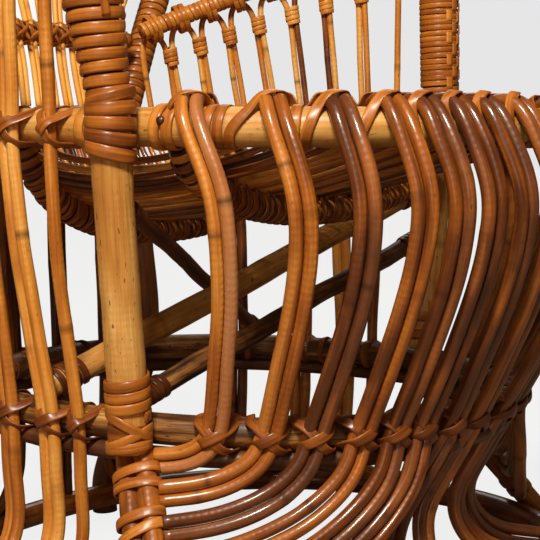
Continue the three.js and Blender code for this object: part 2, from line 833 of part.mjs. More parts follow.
function armRail(side, frame) {
  const { top, end } = armRailLine(side, frame);
  const at = (inShare, frontShare, drop) =>
    new THREE.Vector3(
      top.x - side * armRailFront * inShare,
      top.y - armRailFront * frontShare,
      top.z - drop,
    );
  const points = [
    at(armRailTip.inShare, 1, armRailTip.drop),
    at(armRailBend.inShare, armRailBend.frontShare, 0),
    top,
    top.clone().lerp(end, 1 / 2),
    end,
  ];
  const backward = new THREE.Vector3(0, 1, 0);
  return sweep(roundSection(armRailRadius, hoopSides), points, verticalSide, backward);
}

function addSide(chair, side, frame) {
  const label = side < 0 ? "left" : "right";
  addPiece(chair, "front_post_" + label, frontPost(side), finishes.paleCane);
  addPiece(chair, "front_leg_" + label, frontLeg(side), finishes.honeyCane);
  addPiece(chair, "back_leg_" + label, backLeg(side, frame), finishes.darkCane);
  const arm = armPostFrame(side);
  chair.add(arm);
  addPiece(arm, "arm_post_" + label, armPostCore(), finishes.honeyCane);
  const armWrap = winding("arm_wrap_" + label, armLoops, peelStart + peel.width / 2, armPostRadiusAt);
  addPiece(arm, "arm_wrap_" + label, armWrap, finishes.peel);
  addPiece(chair, "arm_rail_" + label, armRail(side, frame), finishes.honeyCane);
  addPiece(chair, "arm_panel_rail_" + label, panelRailGeometry(side), finishes.honeyCane);
  addPiece(chair, "arm_arches_" + label, archPanel(side), finishes.honeyCane);
  addFootWrap(chair, side, label);
  seatPlaceShares.forEach((share, i) => {
    const finish = i === 2 ? finishes.redCane : finishes.honeyCane;
    addPiece(chair, "skirt_pair_" + label + "_" + (i + 1), skirtPair(side, i), finish);
  });
  [...sideSeatShares, ...rearPlaceShares].forEach((share, i) => {
    addPiece(chair, "side_pair_" + label + "_" + (i + 1), sidePair(side, i, frame), finishes.honeyCane);
  });
}

// Three turns of peel round the foot of the front post, just above the waist hoop.
function addFootWrap(chair, side, label) {
  const frame = new THREE.Group();
  const low = postPlace(waistHoop, side, postRadius, waistHoop.radius);
  const high = postPlace(seatHoop, side, postRadius, -seatHoop.radius);
  frame.position.copy(low);
  frame.quaternion.setFromUnitVectors(up, high.sub(low).normalize());
  chair.add(frame);
  const corner = postRadius / Math.cos(Math.PI / postSides);
  const wrap = winding("post_wrap_" + label, footLoops, footWrapStart, () => corner);
  addPiece(frame, "post_wrap_" + label, wrap, finishes.peel);
}

function buildChair() {
  const chair = new THREE.Group();
  const frame = backFrame();
  chair.add(frame);
  frame.updateMatrixWorld(true);
  addPiece(chair, "seat_hoop", hoopGeometry(seatHoop), finishes.paleCane);
  addPiece(chair, "waist_hoop", hoopGeometry(waistHoop), finishes.paleCane);
  addPiece(chair, "under_hoop", hoopGeometry(underHoop), finishes.darkCane);
  addPiece(chair, "floor_hoop", hoopGeometry(floorHoop), finishes.paleCane);
  addPiece(chair, "seat_deck", seatDeck(), finishes.honeyCane);
  addBraces(chair);
  addPiece(frame, "back_outer_hoop", outerHoop(), finishes.honeyCane);
  addPiece(frame, "back_inner_hoop", innerHoop(), finishes.honeyCane);
  addPiece(frame, "back_fan", backFan(), finishes.honeyCane);
  addSide(chair, -1, frame);
  addSide(chair, 1, frame);
  return chair;
}

// The origin is the middle of the chair's outline on the floor.
const chair = buildChair();
const root = new THREE.Group();
root.add(chair);
root.updateMatrixWorld(true);
const outline = new THREE.Box3().setFromObject(root, true);
chair.position.y = -outline.getCenter(new THREE.Vector3()).y;

export default root;
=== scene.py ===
import math
import bpy
import numpy as np
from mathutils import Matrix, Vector


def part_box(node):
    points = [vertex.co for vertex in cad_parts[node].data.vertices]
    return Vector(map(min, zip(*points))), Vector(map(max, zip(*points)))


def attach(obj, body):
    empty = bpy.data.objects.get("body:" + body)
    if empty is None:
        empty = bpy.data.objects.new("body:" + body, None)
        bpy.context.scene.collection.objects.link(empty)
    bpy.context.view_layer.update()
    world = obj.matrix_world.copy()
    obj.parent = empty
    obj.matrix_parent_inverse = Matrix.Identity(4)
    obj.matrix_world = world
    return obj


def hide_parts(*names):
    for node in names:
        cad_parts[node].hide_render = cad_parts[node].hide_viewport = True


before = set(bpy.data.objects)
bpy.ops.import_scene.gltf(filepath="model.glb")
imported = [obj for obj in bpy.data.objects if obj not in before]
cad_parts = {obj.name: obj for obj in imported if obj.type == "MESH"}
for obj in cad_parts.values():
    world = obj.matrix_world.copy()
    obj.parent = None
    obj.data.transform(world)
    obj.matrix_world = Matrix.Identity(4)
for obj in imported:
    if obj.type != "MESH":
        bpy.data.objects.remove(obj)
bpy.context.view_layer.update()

# All sizes are in millimetres, and Y = 0 is the line of the front posts, until a piece is made.
toMetres = 0.001
planPower = 2.2  # of the ovals that the hoops follow: 2 is an ellipse
seatHoop = {"halfWidth": 222, "frontReach": 218, "backReach": 300, "height": 415, "radius": 14.5}
waistHoop = {"halfWidth": 205, "frontReach": 161, "backReach": 300, "height": 187, "radius": 12}
underHoop = {"halfWidth": 210, "frontReach": 166, "backReach": 305, "height": 167.7, "radius": 7}
floorHoop = {"halfWidth": 311, "frontReach": 214, "backReach": 330, "height": 25, "radius": 12}
gap = 0.6  # between a cane and what it rests on
bothSides = ((-1, "left"), (1, "right"))
up = np.array([0.0, 0.0, 1.0])
forward = np.array([0.0, -1.0, 0.0])
quarter = math.pi / 2
rng = np.random.default_rng(11)

seatLow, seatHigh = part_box("seat_hoop")
seatMiddle = (seatHoop["backReach"] - seatHoop["frontReach"]) / 2
shiftY = (seatLow[1] + seatHigh[1]) / 2 / toMetres - seatMiddle

# Camera: fitted to the posts, the rail and the waist hoop in the photograph
photoCamera = {"place": (-1046.9, -679.9, 415), "look": (0.825, 0.565), "pitch": 5.63, "lens": 96.7,
               "sensor": 36}


def addObject(name, data):
    made = bpy.data.objects.new(name, data)
    bpy.context.scene.collection.objects.link(made)
    return made


def makeCamera():
    data = bpy.data.cameras.new("camera")
    data.lens = photoCamera["lens"]
    data.sensor_width = photoCamera["sensor"]
    data.clip_start = 0.05
    data.clip_end = 60
    camera = addObject("camera", data)
    x, y, z = photoCamera["place"]
    pitch = math.radians(photoCamera["pitch"])
    look = Vector((*photoCamera["look"], 0)).normalized() * math.cos(pitch)
    look.z = -math.sin(pitch)
    camera.location = Vector((x, y + shiftY, z)) * toMetres
    camera.rotation_euler = look.to_track_quat("-Z", "Y").to_euler()
    bpy.context.scene.camera = camera


makeCamera()


# Plans and paths

# The power of the value without its sign, with the sign put back.
def signedPower(value, power):
    return np.sign(value) * np.abs(value) ** power


def unit(vectors):
    return vectors / np.maximum(np.linalg.norm(vectors, axis=-1, keepdims=True), 1e-9)


# The middle of an oval along Y, and half of its length.
def planMiddle(plan):
    return (plan["backReach"] - plan["frontReach"]) / 2


def planLength(plan):
    return (plan["backReach"] + plan["frontReach"]) / 2


# Outward from the oval |x/w|^p + |y/l|^p = 1: its gradient, made one long.
def planNormal(plan, angle):
    across = signedPower(np.sin(angle), 2 / planPower)
    along = signedPower(np.cos(angle), 2 / planPower)
    x = signedPower(across, planPower - 1) / plan["halfWidth"]
    y = -signedPower(along, planPower - 1) / planLength(plan)
    return unit(np.stack([x, y, 0 * x], -1))


# x = w sin(a)^(2/p), y = m - l cos(a)^(2/p), then outward along the normal.
def planPoint(plan, angle, outward=0.0, rise=0.0):
    angle = np.asarray(angle, float)
    across = signedPower(np.sin(angle), 2 / planPower)
    along = signedPower(np.cos(angle), 2 / planPower)
    x = plan["halfWidth"] * across
    y = planMiddle(plan) - planLength(plan) * along
    point = np.stack([x, y, plan["height"] + rise + 0 * x], -1)
    return point + np.asarray(outward)[..., None] * planNormal(plan, angle)


# The angle at which an oval passes this Y in front, or this X at the back.
def angleAtY(plan, y):
    return math.acos(float(signedPower((planMiddle(plan) - y) / planLength(plan), planPower / 2)))


def angleAtX(plan, x):
    return math.pi - math.asin((x / plan["halfWidth"]) ** (planPower / 2))


# The direction at each point: the difference of its neighbours, made one long.
def wayAlong(path):
    return unit(np.gradient(path, axis=0))


# The length of the path up to each of its points.
def lengthAlong(path):
    steps = np.linalg.norm(np.diff(path, axis=0), axis=1)
    return np.concatenate([[0.0], np.cumsum(steps)])


# Points at these lengths along the path.
def at(path, places):
    along = lengthAlong(path)
    return np.stack([np.interp(places, along, path[:, k]) for k in range(3)], -1)


# Each inner value becomes a quarter of both neighbours and half of itself, pass after pass.
def relaxed(values, passes):
    values = np.array(values, float)
    for _ in range(passes):
        values[1:-1] = (values[:-2] + 2 * values[1:-1] + values[2:]) / 4
    return values


# Centripetal Catmull-Rom through the points, then points set evenly along it.
def bend(points, step=5.0, relax=2, closed=False):
    p = np.asarray(points, float)
    if closed:
        p = np.vstack([p[-1:], p, p[:2]])
    else:
        p = np.vstack([2 * p[0] - p[1], p, 2 * p[-1] - p[-2]])
    p0, p1, p2, p3 = p[:-3, None], p[1:-2, None], p[2:-1, None], p[3:, None]
    d01, d12, d23 = (
        np.maximum(np.linalg.norm(b - a, axis=-1, keepdims=True) ** 0.5, 1e-6)
        for a, b in ((p0, p1), (p1, p2), (p2, p3))
    )
    t1, t2, t3 = d01, d01 + d12, d01 + d12 + d23
    t = t1 + np.linspace(0, 1, 16, endpoint=False)[None, :, None] * d12
    a1 = p0 + (p1 - p0) * t / t1
    a2 = p1 + (p2 - p1) * (t - t1) / d12
    a3 = p2 + (p3 - p2) * (t - t2) / d23
    b1 = a1 + (a2 - a1) * t / t2
    b2 = a2 + (a3 - a2) * (t - t1) / (t3 - t1)
    fine = (b1 + (b2 - b1) * (t - t1) / d12).reshape(-1, 3)
    fine = np.vstack([fine, p[-2]])
    length = lengthAlong(fine)[-1]
    count = max(3, int(round(length / step)) + 1)
    path = at(fine, np.linspace(0, length, count))
    if closed:
        return path[:-1]
    return relaxed(path, relax)


driftWaves = (190, 83)


# Sideways drift of a real cane: two sines of random phase, held at both ends.
def wander(path, amount):
    along = lengthAlong(path)
    length = along[-1]
    hold = np.clip(np.sin(np.pi * along / length), 0, 1) ** 0.5
    turns = rng.uniform(0, 2 * math.pi, (2, 3))
    waves = np.sin(along[:, None] * 2 * math.pi / driftWaves[0] + turns[0])
    waves = waves + 0.5 * np.sin(along[:, None] * 2 * math.pi / driftWaves[1] + turns[1])
    return path + amount * hold[:, None] * waves


# Sections, sweeps and pieces

# A circle: r (cos(turn), sin(turn)).
def roundSection(radius, sides=14):
    turn = np.arange(sides) * 2 * math.pi / sides
    return radius * np.stack([np.cos(turn), np.sin(turn)], 1)


# Flat peel with a crowned face: the superellipse |x/a|^3 + |y/b|^3 = 1.
def stripSection(width, thickness, sides=12):
    turn = np.arange(sides) * 2 * math.pi / sides
    x = width / 2 * signedPower(np.cos(turn), 2 / 3)
    y = thickness / 2 * signedPower(np.sin(turn), 2 / 3)
    return np.stack([x, y], 1)


# A shape gathers points and faces, with the grain, tint, joints and pale tan of each point; the pale tan is
# partly dust and partly a painted sheen.
def newShape():
    return {"verts": [], "faces": [], "grain": [], "tint": [], "ring": [], "dustAndSheen": [], "count": 0}


caneJoint = {"ring": 2.0, "swell": 0.045, "swellReach": 5, "stray": 0.15}
caneEnd = {"reach": 0.14, "size": 0.84}


# Each point of a swept piece is path + size (x side + y out), with x and y on its section. The size
# swells by a bell curve at each joint of the cane, and open ends step in to a rounded edge.
def addSweep(shape, path, section, side=None, outward=None, size=1.0, tint=None, closed=False,
             knots=None, dustAndSheen=0.0):
    if closed:
        tangent = unit(np.roll(path, -1, 0) - np.roll(path, 1, 0))
    else:
        tangent = wayAlong(path)
    if side is None:
        side = np.cross(outward + 0 * path, tangent)
    side = side + 0 * path
    side = unit(side - np.sum(side * tangent, 1, keepdims=True) * tangent)
    out = np.cross(tangent, side)
    along = lengthAlong(path)
    size = size * np.ones(len(path))
    ring = np.zeros(len(path))
    if knots:
        for place in np.arange(rng.uniform(0.2, 0.9) * knots, along[-1], knots):
            place = place + rng.uniform(-caneJoint["stray"], caneJoint["stray"]) * knots
            ring = np.maximum(ring, np.exp(-(((along - place) / caneJoint["ring"]) ** 2)))
            bell = np.exp(-(((along - place) / caneJoint["swellReach"]) ** 2))
            size = size * (1 + caneJoint["swell"] * bell)
    if not closed:
        reach = caneEnd["reach"] * np.abs(section).max() * size[[0, -1], None]
        path = np.vstack([path[:1] - tangent[:1] * reach[0], path, path[-1:] + tangent[-1:] * reach[1]])
        size = np.concatenate([[caneEnd["size"] * size[0]], size, [caneEnd["size"] * size[-1]]])
        side, out = (np.vstack([v[:1], v, v[-1:]]) for v in (side, out))
        along, ring = (np.concatenate([v[:1], v, v[-1:]]) for v in (along, ring))
    n, m = len(path), len(section)
    flat = section[None] * size[:, None, None]
    grid = path[:, None] + flat[..., :1] * side[:, None] + flat[..., 1:] * out[:, None]
    index = np.arange(n * m).reshape(n, m) + shape["count"]
    first, after = (index, np.roll(index, -1, 0)) if closed else (index[:-1], index[1:])
    quads = np.stack([first, np.roll(first, -1, 1), np.roll(after, -1, 1), after], -1)
    shape["faces"] += quads.reshape(-1, 4).tolist()
    if not closed:
        shape["faces"] += [index[0, ::-1].tolist(), index[-1].tolist()]
    offset = rng.uniform(0, 9, 3)
    grain = np.concatenate([flat, np.broadcast_to(along[:, None, None], (n, m, 1))], -1)
    shape["verts"].append(grid.reshape(-1, 3))
    shape["grain"].append(grain.reshape(-1, 3) * toMetres + offset)
    shape["ring"].append(np.repeat(ring, m))
    shade = rng.uniform(0.42, 0.72) if tint is None else tint
    shape["tint"].append(np.full(n * m, shade))
    shape["dustAndSheen"].append(np.full(n * m, dustAndSheen))
    shape["count"] += n * m


# One mesh of all the sweeps in a shape, in metres, in its place on the chair.
def makePiece(name, shape, material, slotName, *nodes):
    verts = np.concatenate(shape["verts"])
    verts[:, 1] += shiftY
    verts[:, 2] = np.maximum(verts[:, 2], 0.0)
    mesh = bpy.data.meshes.new(name)
    mesh.from_pydata((verts * toMetres).tolist(), [], shape["faces"], shade_flat=False)
    grain = mesh.attributes.new("grain", "FLOAT_VECTOR", "POINT")
    grain.data.foreach_set("vector", np.concatenate(shape["grain"]).ravel().astype(np.float32))
    for key in ("tint", "ring", "dustAndSheen"):
        layer = mesh.attributes.new(key, "FLOAT", "POINT")
        layer.data.foreach_set("value", np.concatenate(shape[key]).astype(np.float32))
    mesh.materials.append(material)
    piece = addObject(name, mesh)
    if nodes:
        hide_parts(*nodes)
    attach(piece, "root")


# Materials

# A shader node, with its settings, and a value or another node's output for each input.
def put(tree, kind, inputs, **settings):
    made = tree.nodes.new("ShaderNode" + kind)
    for key, value in settings.items():
        setattr(made, key, value)
    for key, value in inputs.items():
        if isinstance(value, bpy.types.NodeSocket):
            tree.links.new(value, made.inputs[key])
        else:
            made.inputs[key].default_value = value
    return made


def maths(tree, operation, first, second):
    return put(tree, "Math", {0: first, 1: second}, operation=operation).outputs[0]


# Noise with so many waves a metre across the grain and along it.
def noise(tree, grain, across, along, detail):
    drawn = put(tree, "VectorMath", {0: grain, 1: (across, across, along)}, operation="MULTIPLY").outputs[0]
    made = put(tree, "TexNoise", {"Vector": drawn, "Scale": 1.0, "Detail": detail, "Roughness": 0.55})
    return made.outputs["Fac"]


# The value moved in a straight line from one range to another.
def ranged(tree, value, low, high, toLow, toHigh):
    limits = {"From Min": low, "From Max": high, "To Min": toLow, "To Max": toHigh}
    return put(tree, "MapRange", {"Value": value, **limits}).outputs[0]


def rampOf(tree, value, stops):
    made = put(tree, "ValToRGB", {"Fac": value})
    ramp = made.color_ramp
    while len(ramp.elements) < len(stops):
        ramp.elements.new(0.5)
    for element, (place, colour) in zip(ramp.elements, stops):
        element.position = place
        element.color = (*colour, 1)
    return made.outputs["Color"]


def blended(tree, share, first, second):
    return put(tree, "Mix", {0: share, 6: first, 7: second}, data_type="RGBA").outputs[2]


grainScales = {"fibre": (900, 22, 5), "streak": (260, 9, 4), "blotch": (40, 14, 3), "pit": (420, 150, 2),
               "wrinkle": (110, 250, 2)}
varnish = {"dustAndSheenColour": (0.4, 0.17, 0.085, 1), "specular": 0.34, "relief": 0.0006, "rippleWaves": 1160.0}


# Cane: fibres along its length, slow blotches, darker joints, small pits, blotches of a pale pinkish tan that
# is partly dust and partly a painted sheen, under a coat of varnish.
def caneMaterial(name, look):
    material = bpy.data.materials.new(name)
    material.use_nodes = True
    tree = material.node_tree
    shader = tree.nodes["Principled BSDF"]
    grain, tint, ring, dustAndSheen = (
        put(tree, "Attribute", {}, attribute_name=key).outputs["Vector" if key == "grain" else "Fac"]
        for key in ("grain", "tint", "ring", "dustAndSheen")
    )
    fibre, streak, blotch, pit, wrinkle = (noise(tree, grain, *scales) for scales in grainScales.values())
    tone = tint
    for key, pattern in (("blotch", blotch), ("streak", streak), ("fibre", fibre)):
        tone = maths(tree, "ADD", tone, ranged(tree, pattern, 0.3, 0.7, -look[key], look[key]))
    colour = rampOf(tree, tone, look["stops"])
    # a pale pinkish tan in blotches: partly dust, partly a painted sheen
    dustAndSheenPatches = maths(tree, "MULTIPLY", dustAndSheen, ranged(tree, blotch, 0.25, 0.6, 0.35, 1.0))
    colour = blended(tree, dustAndSheenPatches, colour, varnish["dustAndSheenColour"])
    pits = ranged(tree, pit, look["pitFrom"], look["pitFrom"] + 0.05, 0.0, look["pitShare"])
    dark = maths(tree, "MAXIMUM", pits, maths(tree, "MULTIPLY", ring, look["ringShare"]))
    colour = blended(tree, dark, colour, (*look["pitColour"], 1))
    tree.links.new(colour, shader.inputs["Base Color"])
    tree.links.new(ranged(tree, streak, 0.3, 0.7, *look["roughness"]), shader.inputs["Roughness"])
    shader.inputs["Coat Weight"].default_value = look["coat"]
    shader.inputs["Coat Roughness"].default_value = look["coatRoughness"]
    shader.inputs["Specular IOR Level"].default_value = varnish["specular"]
    # the relief is fibres, streaks and wrinkles, with fine ripples where a streak runs, and sunk joints
    height = maths(tree, "ADD", maths(tree, "MULTIPLY", fibre, 0.35), maths(tree, "MULTIPLY", streak, 0.65))
    height = maths(tree, "ADD", height, maths(tree, "MULTIPLY", wrinkle, look["wrinkle"]))
    along = put(tree, "SeparateXYZ", {0: grain}).outputs["Z"]
    ripple = maths(tree, "SINE", maths(tree, "MULTIPLY", along, varnish["rippleWaves"]), 0.0)
    rippleShare = ranged(tree, streak, 0.35, 0.6, 0.0, 0.4 * look["wrinkle"])
    height = maths(tree, "ADD", height, maths(tree, "MULTIPLY", ripple, rippleShare))
    height = maths(tree, "SUBTRACT", height, maths(tree, "MULTIPLY", dark, 0.5))
    bump = put(tree, "Bump", {"Strength": look["bump"], "Distance": varnish["relief"], "Height": height})
    tree.links.new(bump.outputs["Normal"], shader.inputs["Normal"])
    return material


honeyStops = [(0.0, (0.03, 0.007, 0.002)), (0.25, (0.13, 0.03, 0.004)), (0.5, (0.38, 0.105, 0.010)),
              (0.75, (0.63, 0.235, 0.03)), (1.0, (0.8, 0.42, 0.1))]
peelStops = [(0.0, (0.05, 0.012, 0.003)), (0.3, (0.19, 0.045, 0.005)), (0.55, (0.42, 0.125, 0.012)),
             (0.8, (0.62, 0.235, 0.03)), (1.0, (0.74, 0.36, 0.07))]
# A darker copy of the pale ramp: its darkness paints the shade under the seat.
wornAndPaintedShadeStops = [(0.0, (0.018, 0.007, 0.003)), (0.3, (0.085, 0.03, 0.008)), (0.55, (0.3, 0.12, 0.026)),
             (0.8, (0.58, 0.32, 0.09)), (1.0, (0.78, 0.52, 0.2))]
paleStops = [(0.0, (0.17, 0.045, 0.008)), (0.3, (0.36, 0.13, 0.02)), (0.55, (0.52, 0.22, 0.042)),
             (0.8, (0.68, 0.35, 0.09)), (1.0, (0.8, 0.5, 0.18))]
# The fan's ramp is a brighter copy of the pale one: it paints the strong light that falls on the fan.
fanPaintedLightStops = [(0.0, (0.3, 0.075, 0.009)), (0.35, (0.52, 0.17, 0.02)), (0.7, (0.82, 0.33, 0.045)),
            (1.0, (0.95, 0.47, 0.09))]
darkStops = [(0.0, (0.012, 0.005, 0.003)), (0.4, (0.05, 0.016, 0.006)), (0.7, (0.12, 0.037, 0.011)),
             (1.0, (0.25, 0.085, 0.022))]
honey = caneMaterial("honey", {
    "stops": honeyStops, "blotch": 0.17, "streak": 0.12, "fibre": 0.06, "pitFrom": 0.7, "pitShare": 0.6,
    "ringShare": 0.75, "pitColour": (0.035, 0.009, 0.003), "roughness": (0.3, 0.46), "coat": 0.5,
    "coatRoughness": 0.13, "bump": 0.34, "wrinkle": 0.9,
})
peelSkin = caneMaterial("peel", {
    "stops": peelStops, "blotch": 0.17, "streak": 0.15, "fibre": 0.09, "pitFrom": 0.71, "pitShare": 0.5,
    "ringShare": 0.3, "pitColour": (0.05, 0.013, 0.004), "roughness": (0.34, 0.5), "coat": 0.28,
    "coatRoughness": 0.24, "bump": 0.5, "wrinkle": 0.4,
})
pale = caneMaterial("pale", {
    "stops": paleStops, "blotch": 0.2, "streak": 0.14, "fibre": 0.08, "pitFrom": 0.655, "pitShare": 0.75,
    "ringShare": 0.45, "pitColour": (0.09, 0.028, 0.008), "roughness": (0.36, 0.54), "coat": 0.25,
    "coatRoughness": 0.28, "bump": 0.42, "wrinkle": 0.4,
})
# The fan's cane is a lit copy of the pale cane, with painted light.
fanPaintedLight = caneMaterial("fanPaintedLight", {
    "stops": fanPaintedLightStops, "blotch": 0.16, "streak": 0.14, "fibre": 0.07, "pitFrom": 0.68, "pitShare": 0.6,
    "ringShare": 0.4, "pitColour": (0.12, 0.03, 0.006), "roughness": (0.36, 0.5), "coat": 0.25,
    "coatRoughness": 0.28, "bump": 0.36, "wrinkle": 0.3,
})
# The worn cane: its strong blotches and pits are wear, and its darker ramp paints the shade on the waist rail
# and the lower brace.
wornAndPaintedShade = caneMaterial("wornAndPaintedShade", {
    "stops": wornAndPaintedShadeStops, "blotch": 0.34, "streak": 0.24, "fibre": 0.14, "pitFrom": 0.64, "pitShare": 0.8,
    "ringShare": 0.5, "pitColour": (0.02, 0.008, 0.003), "roughness": (0.42, 0.62), "coat": 0.15,
    "coatRoughness": 0.3, "bump": 0.6, "wrinkle": 0.3,
})
darkCane = caneMaterial("dark", {
    "stops": darkStops, "blotch": 0.2, "streak": 0.14, "fibre": 0.08, "pitFrom": 0.68, "pitShare": 0.6,
    "ringShare": 0.4, "pitColour": (0.01, 0.004, 0.003), "roughness": (0.4, 0.6), "coat": 0.2,
    "coatRoughness": 0.3, "bump": 0.45, "wrinkle": 0.5,
})
print("materials made")


# Lashings

# A peel wound round a spine: centre + r (cos(turn) n + sin(turn) b), a turn for each pitch, with a random
# drift along the spine.
def addWinding(shape, spine, reach, start, turns, pitch, width, thickness=1.9, hint=up, tint=None,
               ragged=0.35, level=False, turnSteps=26, sides=12):
    steps = int(turns * turnSteps)
    turn = 2 * math.pi * turns * np.linspace(0, 1, steps + 1)
    place = start + pitch * turns * np.linspace(0, 1, steps + 1)
    centre = at(spine, place)
    tangent = up + 0 * centre if level else directionAt(spine, place)
    hint = hint + 0 * centre
    n = unit(hint - np.sum(hint * tangent, 1, keepdims=True) * tangent)
    radial = np.cos(turn)[:, None] * n + np.sin(turn)[:, None] * np.cross(tangent, n)
    r = (reach(place) if callable(reach) else reach) + thickness / 2
    marks = np.linspace(0, steps, int(turns * 2) + 2)
    drift = np.interp(np.arange(steps + 1), marks, rng.uniform(-ragged, ragged, len(marks)))
    path = centre + (r * np.ones(steps + 1))[:, None] * radial + drift[:, None] * tangent
    addSweep(shape, path, stripSection(width, thickness, sides), outward=radial, tint=tint)


# A peel round a pole, from this far past its start to this far before its end.
def wrapPole(shape, path, radius, end, pitch, width, thickness, **how):
    turns = (lengthAlong(path)[-1] - 2 * end) / pitch
    addWinding(shape, path, radius, end, turns, pitch, width, thickness, **how)


# The direction of the path at these lengths along it.
def directionAt(path, places):
    along = lengthAlong(path)
    tangent = wayAlong(path)
    return unit(np.stack([np.interp(places, along, tangent[:, k]) for k in range(3)], -1))


# A vector with its part along the axis taken away.
def acrossAxis(vector, axis):
    return vector - np.dot(vector, axis) * axis


# A place on a pole: its centre, the way along it, out of the chair and across both.
def poleFrame(centre, along, out):
    out = unit(acrossAxis(out, along))
    return {"centre": np.asarray(centre, float), "along": along, "out": out, "rise": np.cross(along, out)}


# The place on a hoop at this angle, with the way along it level.
def hoopFrame(plan, angle):
    out = planNormal(plan, angle)
    return poleFrame(planPoint(plan, angle), np.cross(up, out), out)


# Points given along the pole, out from it and across both, as points of the chair.
def placed(spot, local):
    return (spot["centre"] + local[:, :1] * spot["along"] + local[:, 1:2] * spot["out"]
            + local[:, 2:] * spot["rise"])


# Two strokes crossed over what stands outside a pole, tied round the pole on both sides of it:
# a steep one beneath, then a nearly level one.
def addCross(shape, spot, pole, half, depth, width=8.0, thickness=1.6, spread=3.6, tint=None):
    r = pole + thickness / 2
    a = half + spread
    front = pole + 2 * depth + thickness / 2
    flank = half + 1.2
    local = [
        (-a, 0.5 * r, -0.87 * r), (-flank, pole + depth, -0.86 * r), (-0.5 * half, front, -0.52 * r),
        (0.5 * half, front, 0.52 * r), (flank, pole + depth, 0.86 * r), (a, 0.5 * r, 0.87 * r),
        (a, -0.4 * r, 0.96 * r), (a, -r, 0.0), (a, -0.4 * r, -0.96 * r),
        (a, 0.74 * r, -0.68 * r), (flank, pole + depth, -0.46 * r),
        (0.6 * half, front + thickness, -0.24 * r), (-0.6 * half, front + thickness, 0.24 * r),
        (-flank, pole + depth, 0.46 * r), (-a, 0.74 * r, 0.68 * r),
        (-a, -0.4 * r, 0.96 * r), (-a, -r, 0.0), (-a, -0.4 * r, -0.96 * r),
    ]
    local = bend(np.array(local), step=2.2, closed=True)
    outward = local * np.array([0.3, 1.0, 1.0]) - np.array([0, 0.25 * r, 0])
    path = placed(spot, local)
    way = outward[:, :1] * spot["along"] + outward[:, 1:2] * spot["out"] + outward[:, 2:] * spot["rise"]
    addSweep(shape, path, stripSection(width, thickness), outward=way, closed=True, tint=tint)


# A closed band round a pole: r (stretch cos(turn) out + sin(turn) rise) + tip cos(turn + turnTip) along.
def addBand(shape, centre, axis, hint, reach, width, thickness=1.9, tip=0.0, turnTip=0.0, tint=None,
            stretch=1.0):
    turn = np.linspace(0, 2 * math.pi, 44, endpoint=False)
    n = unit(acrossAxis(hint, axis))
    b = np.cross(axis, n)
    radial = stretch * np.cos(turn)[:, None] * n + np.sin(turn)[:, None] * b
    path = centre + (reach + thickness / 2) * radial + tip * np.cos(turn + turnTip)[:, None] * axis
    addSweep(shape, path, stripSection(width, thickness), outward=radial, closed=True, tint=tint)


nail = {"radius": 3.4, "dome": 2.2}


# A nail head: a low dome, reach + dome cos(turn) out and radius sin(turn) across.
def addNail(shape, spot, reach):
    turn = np.linspace(0.08, quarter, 8)[::-1]
    out = unit(spot["out"] - 0.3 * spot["rise"])
    path = spot["centre"] + (reach + nail["dome"] * np.cos(turn))[:, None] * out
    addSweep(shape, path, roundSection(nail["radius"]), side=spot["along"], size=np.sin(turn), tint=0.02)


# Hoops and posts

# Once round the oval, in equal steps of the angle.
def hoopPath(plan, count=320):
    return planPoint(plan, np.linspace(-math.pi, math.pi, count, endpoint=False))


# A cane's thickness varies by straight steps between 24 random marks.
def uneven(path, amount, marks=24):
    sizes = rng.uniform(-amount, amount, marks)
    share = np.linspace(0, marks - 1, len(path))
    return 1 + np.interp(share, np.arange(marks), sizes)


# A round pole along a path, with joints.
def pole(path, radius, side, tint=None, closed=False, knots=230, sides=24, amount=0.018):
    shape = newShape()
    size = 1.0 if closed else uneven(path, amount)
    addSweep(shape, path, roundSection(radius, sides), side=side, size=size, tint=tint, closed=closed,
             knots=knots)
    return shape


for name, plan, tint, finish, slotName, node in (
    ("seat_rail", seatHoop, 0.62, pale, "pale_cane", "seat_hoop"),
    ("waist_rail", waistHoop, 0.42, wornAndPaintedShade, "pale_cane", "waist_hoop"),
    # the waist rail's darker worn cane partly paints the shade under the seat
    ("under_rail", underHoop, 0.62, darkCane, "dark_cane", "under_hoop"),
    ("floor_rail", floorHoop, 0.32, honey, "honey_cane", "floor_hoop"),
):
    makePiece(name, pole(hoopPath(plan), plan["radius"], up, tint, True), finish, slotName, node)

postRadius = 15
postBehind = {"seat": 6, "waist": 13}
armPost = {"footRadius": 13.5, "topRadius": 19, "swell": 7.6, "swellHeight": 112, "length": 172,
           "leanOut": 23, "leanBack": 16, "straightRadius": 16.6, "straightSwell": 0.8}
weave = {"width": 6.4, "thickness": 1.6, "stagger": 14, "middle": 71, "press": 2.4, "lift": 0.85}
armLooks = {
    -1: {"pitch": 9.3, "width": 8.8, "turns": 18.1, "thickness": 3.2, "weaveFrom": 62,
         "weaveTurns": (-0.5, -0.16, 0.18, 0.52)},
    1: {"pitch": 5.6, "width": 5.3, "turns": 30.2, "thickness": 2.0, "weaveFrom": 8,
        "weaveTurns": (-0.55, -0.2, 0.15, 0.5, 0.85)},
}


# The posts stand a little behind the line Y = 0, more so at the waist.
def postAngle(plan):
    return angleAtY(plan, postBehind["seat" if plan is seatHoop else "waist"])


# A place on a hoop's outer side, for a post of this radius, raised by this much.
def postPlace(plan, side, radius, rise):
    return planPoint(plan, side * postAngle(plan), plan["radius"] + radius + gap, rise)


# A post touches each hoop over the whole height of the hoop, and is straight between them.
def postPath(side):
    points = [postPlace(plan, side, postRadius, end * plan["radius"])
              for plan in (waistHoop, seatHoop) for end in (-1, 1)]
    return bend(points, step=6, relax=6)


# From the foot of an arm post to its top.
def armPostLean(side):
    return np.array([side * armPost["leanOut"], armPost["leanBack"], armPost["length"]], float)


def armPostFrame(side):
    return postPlace(seatHoop, side, postRadius, seatHoop["radius"] + gap), unit(armPostLean(side))


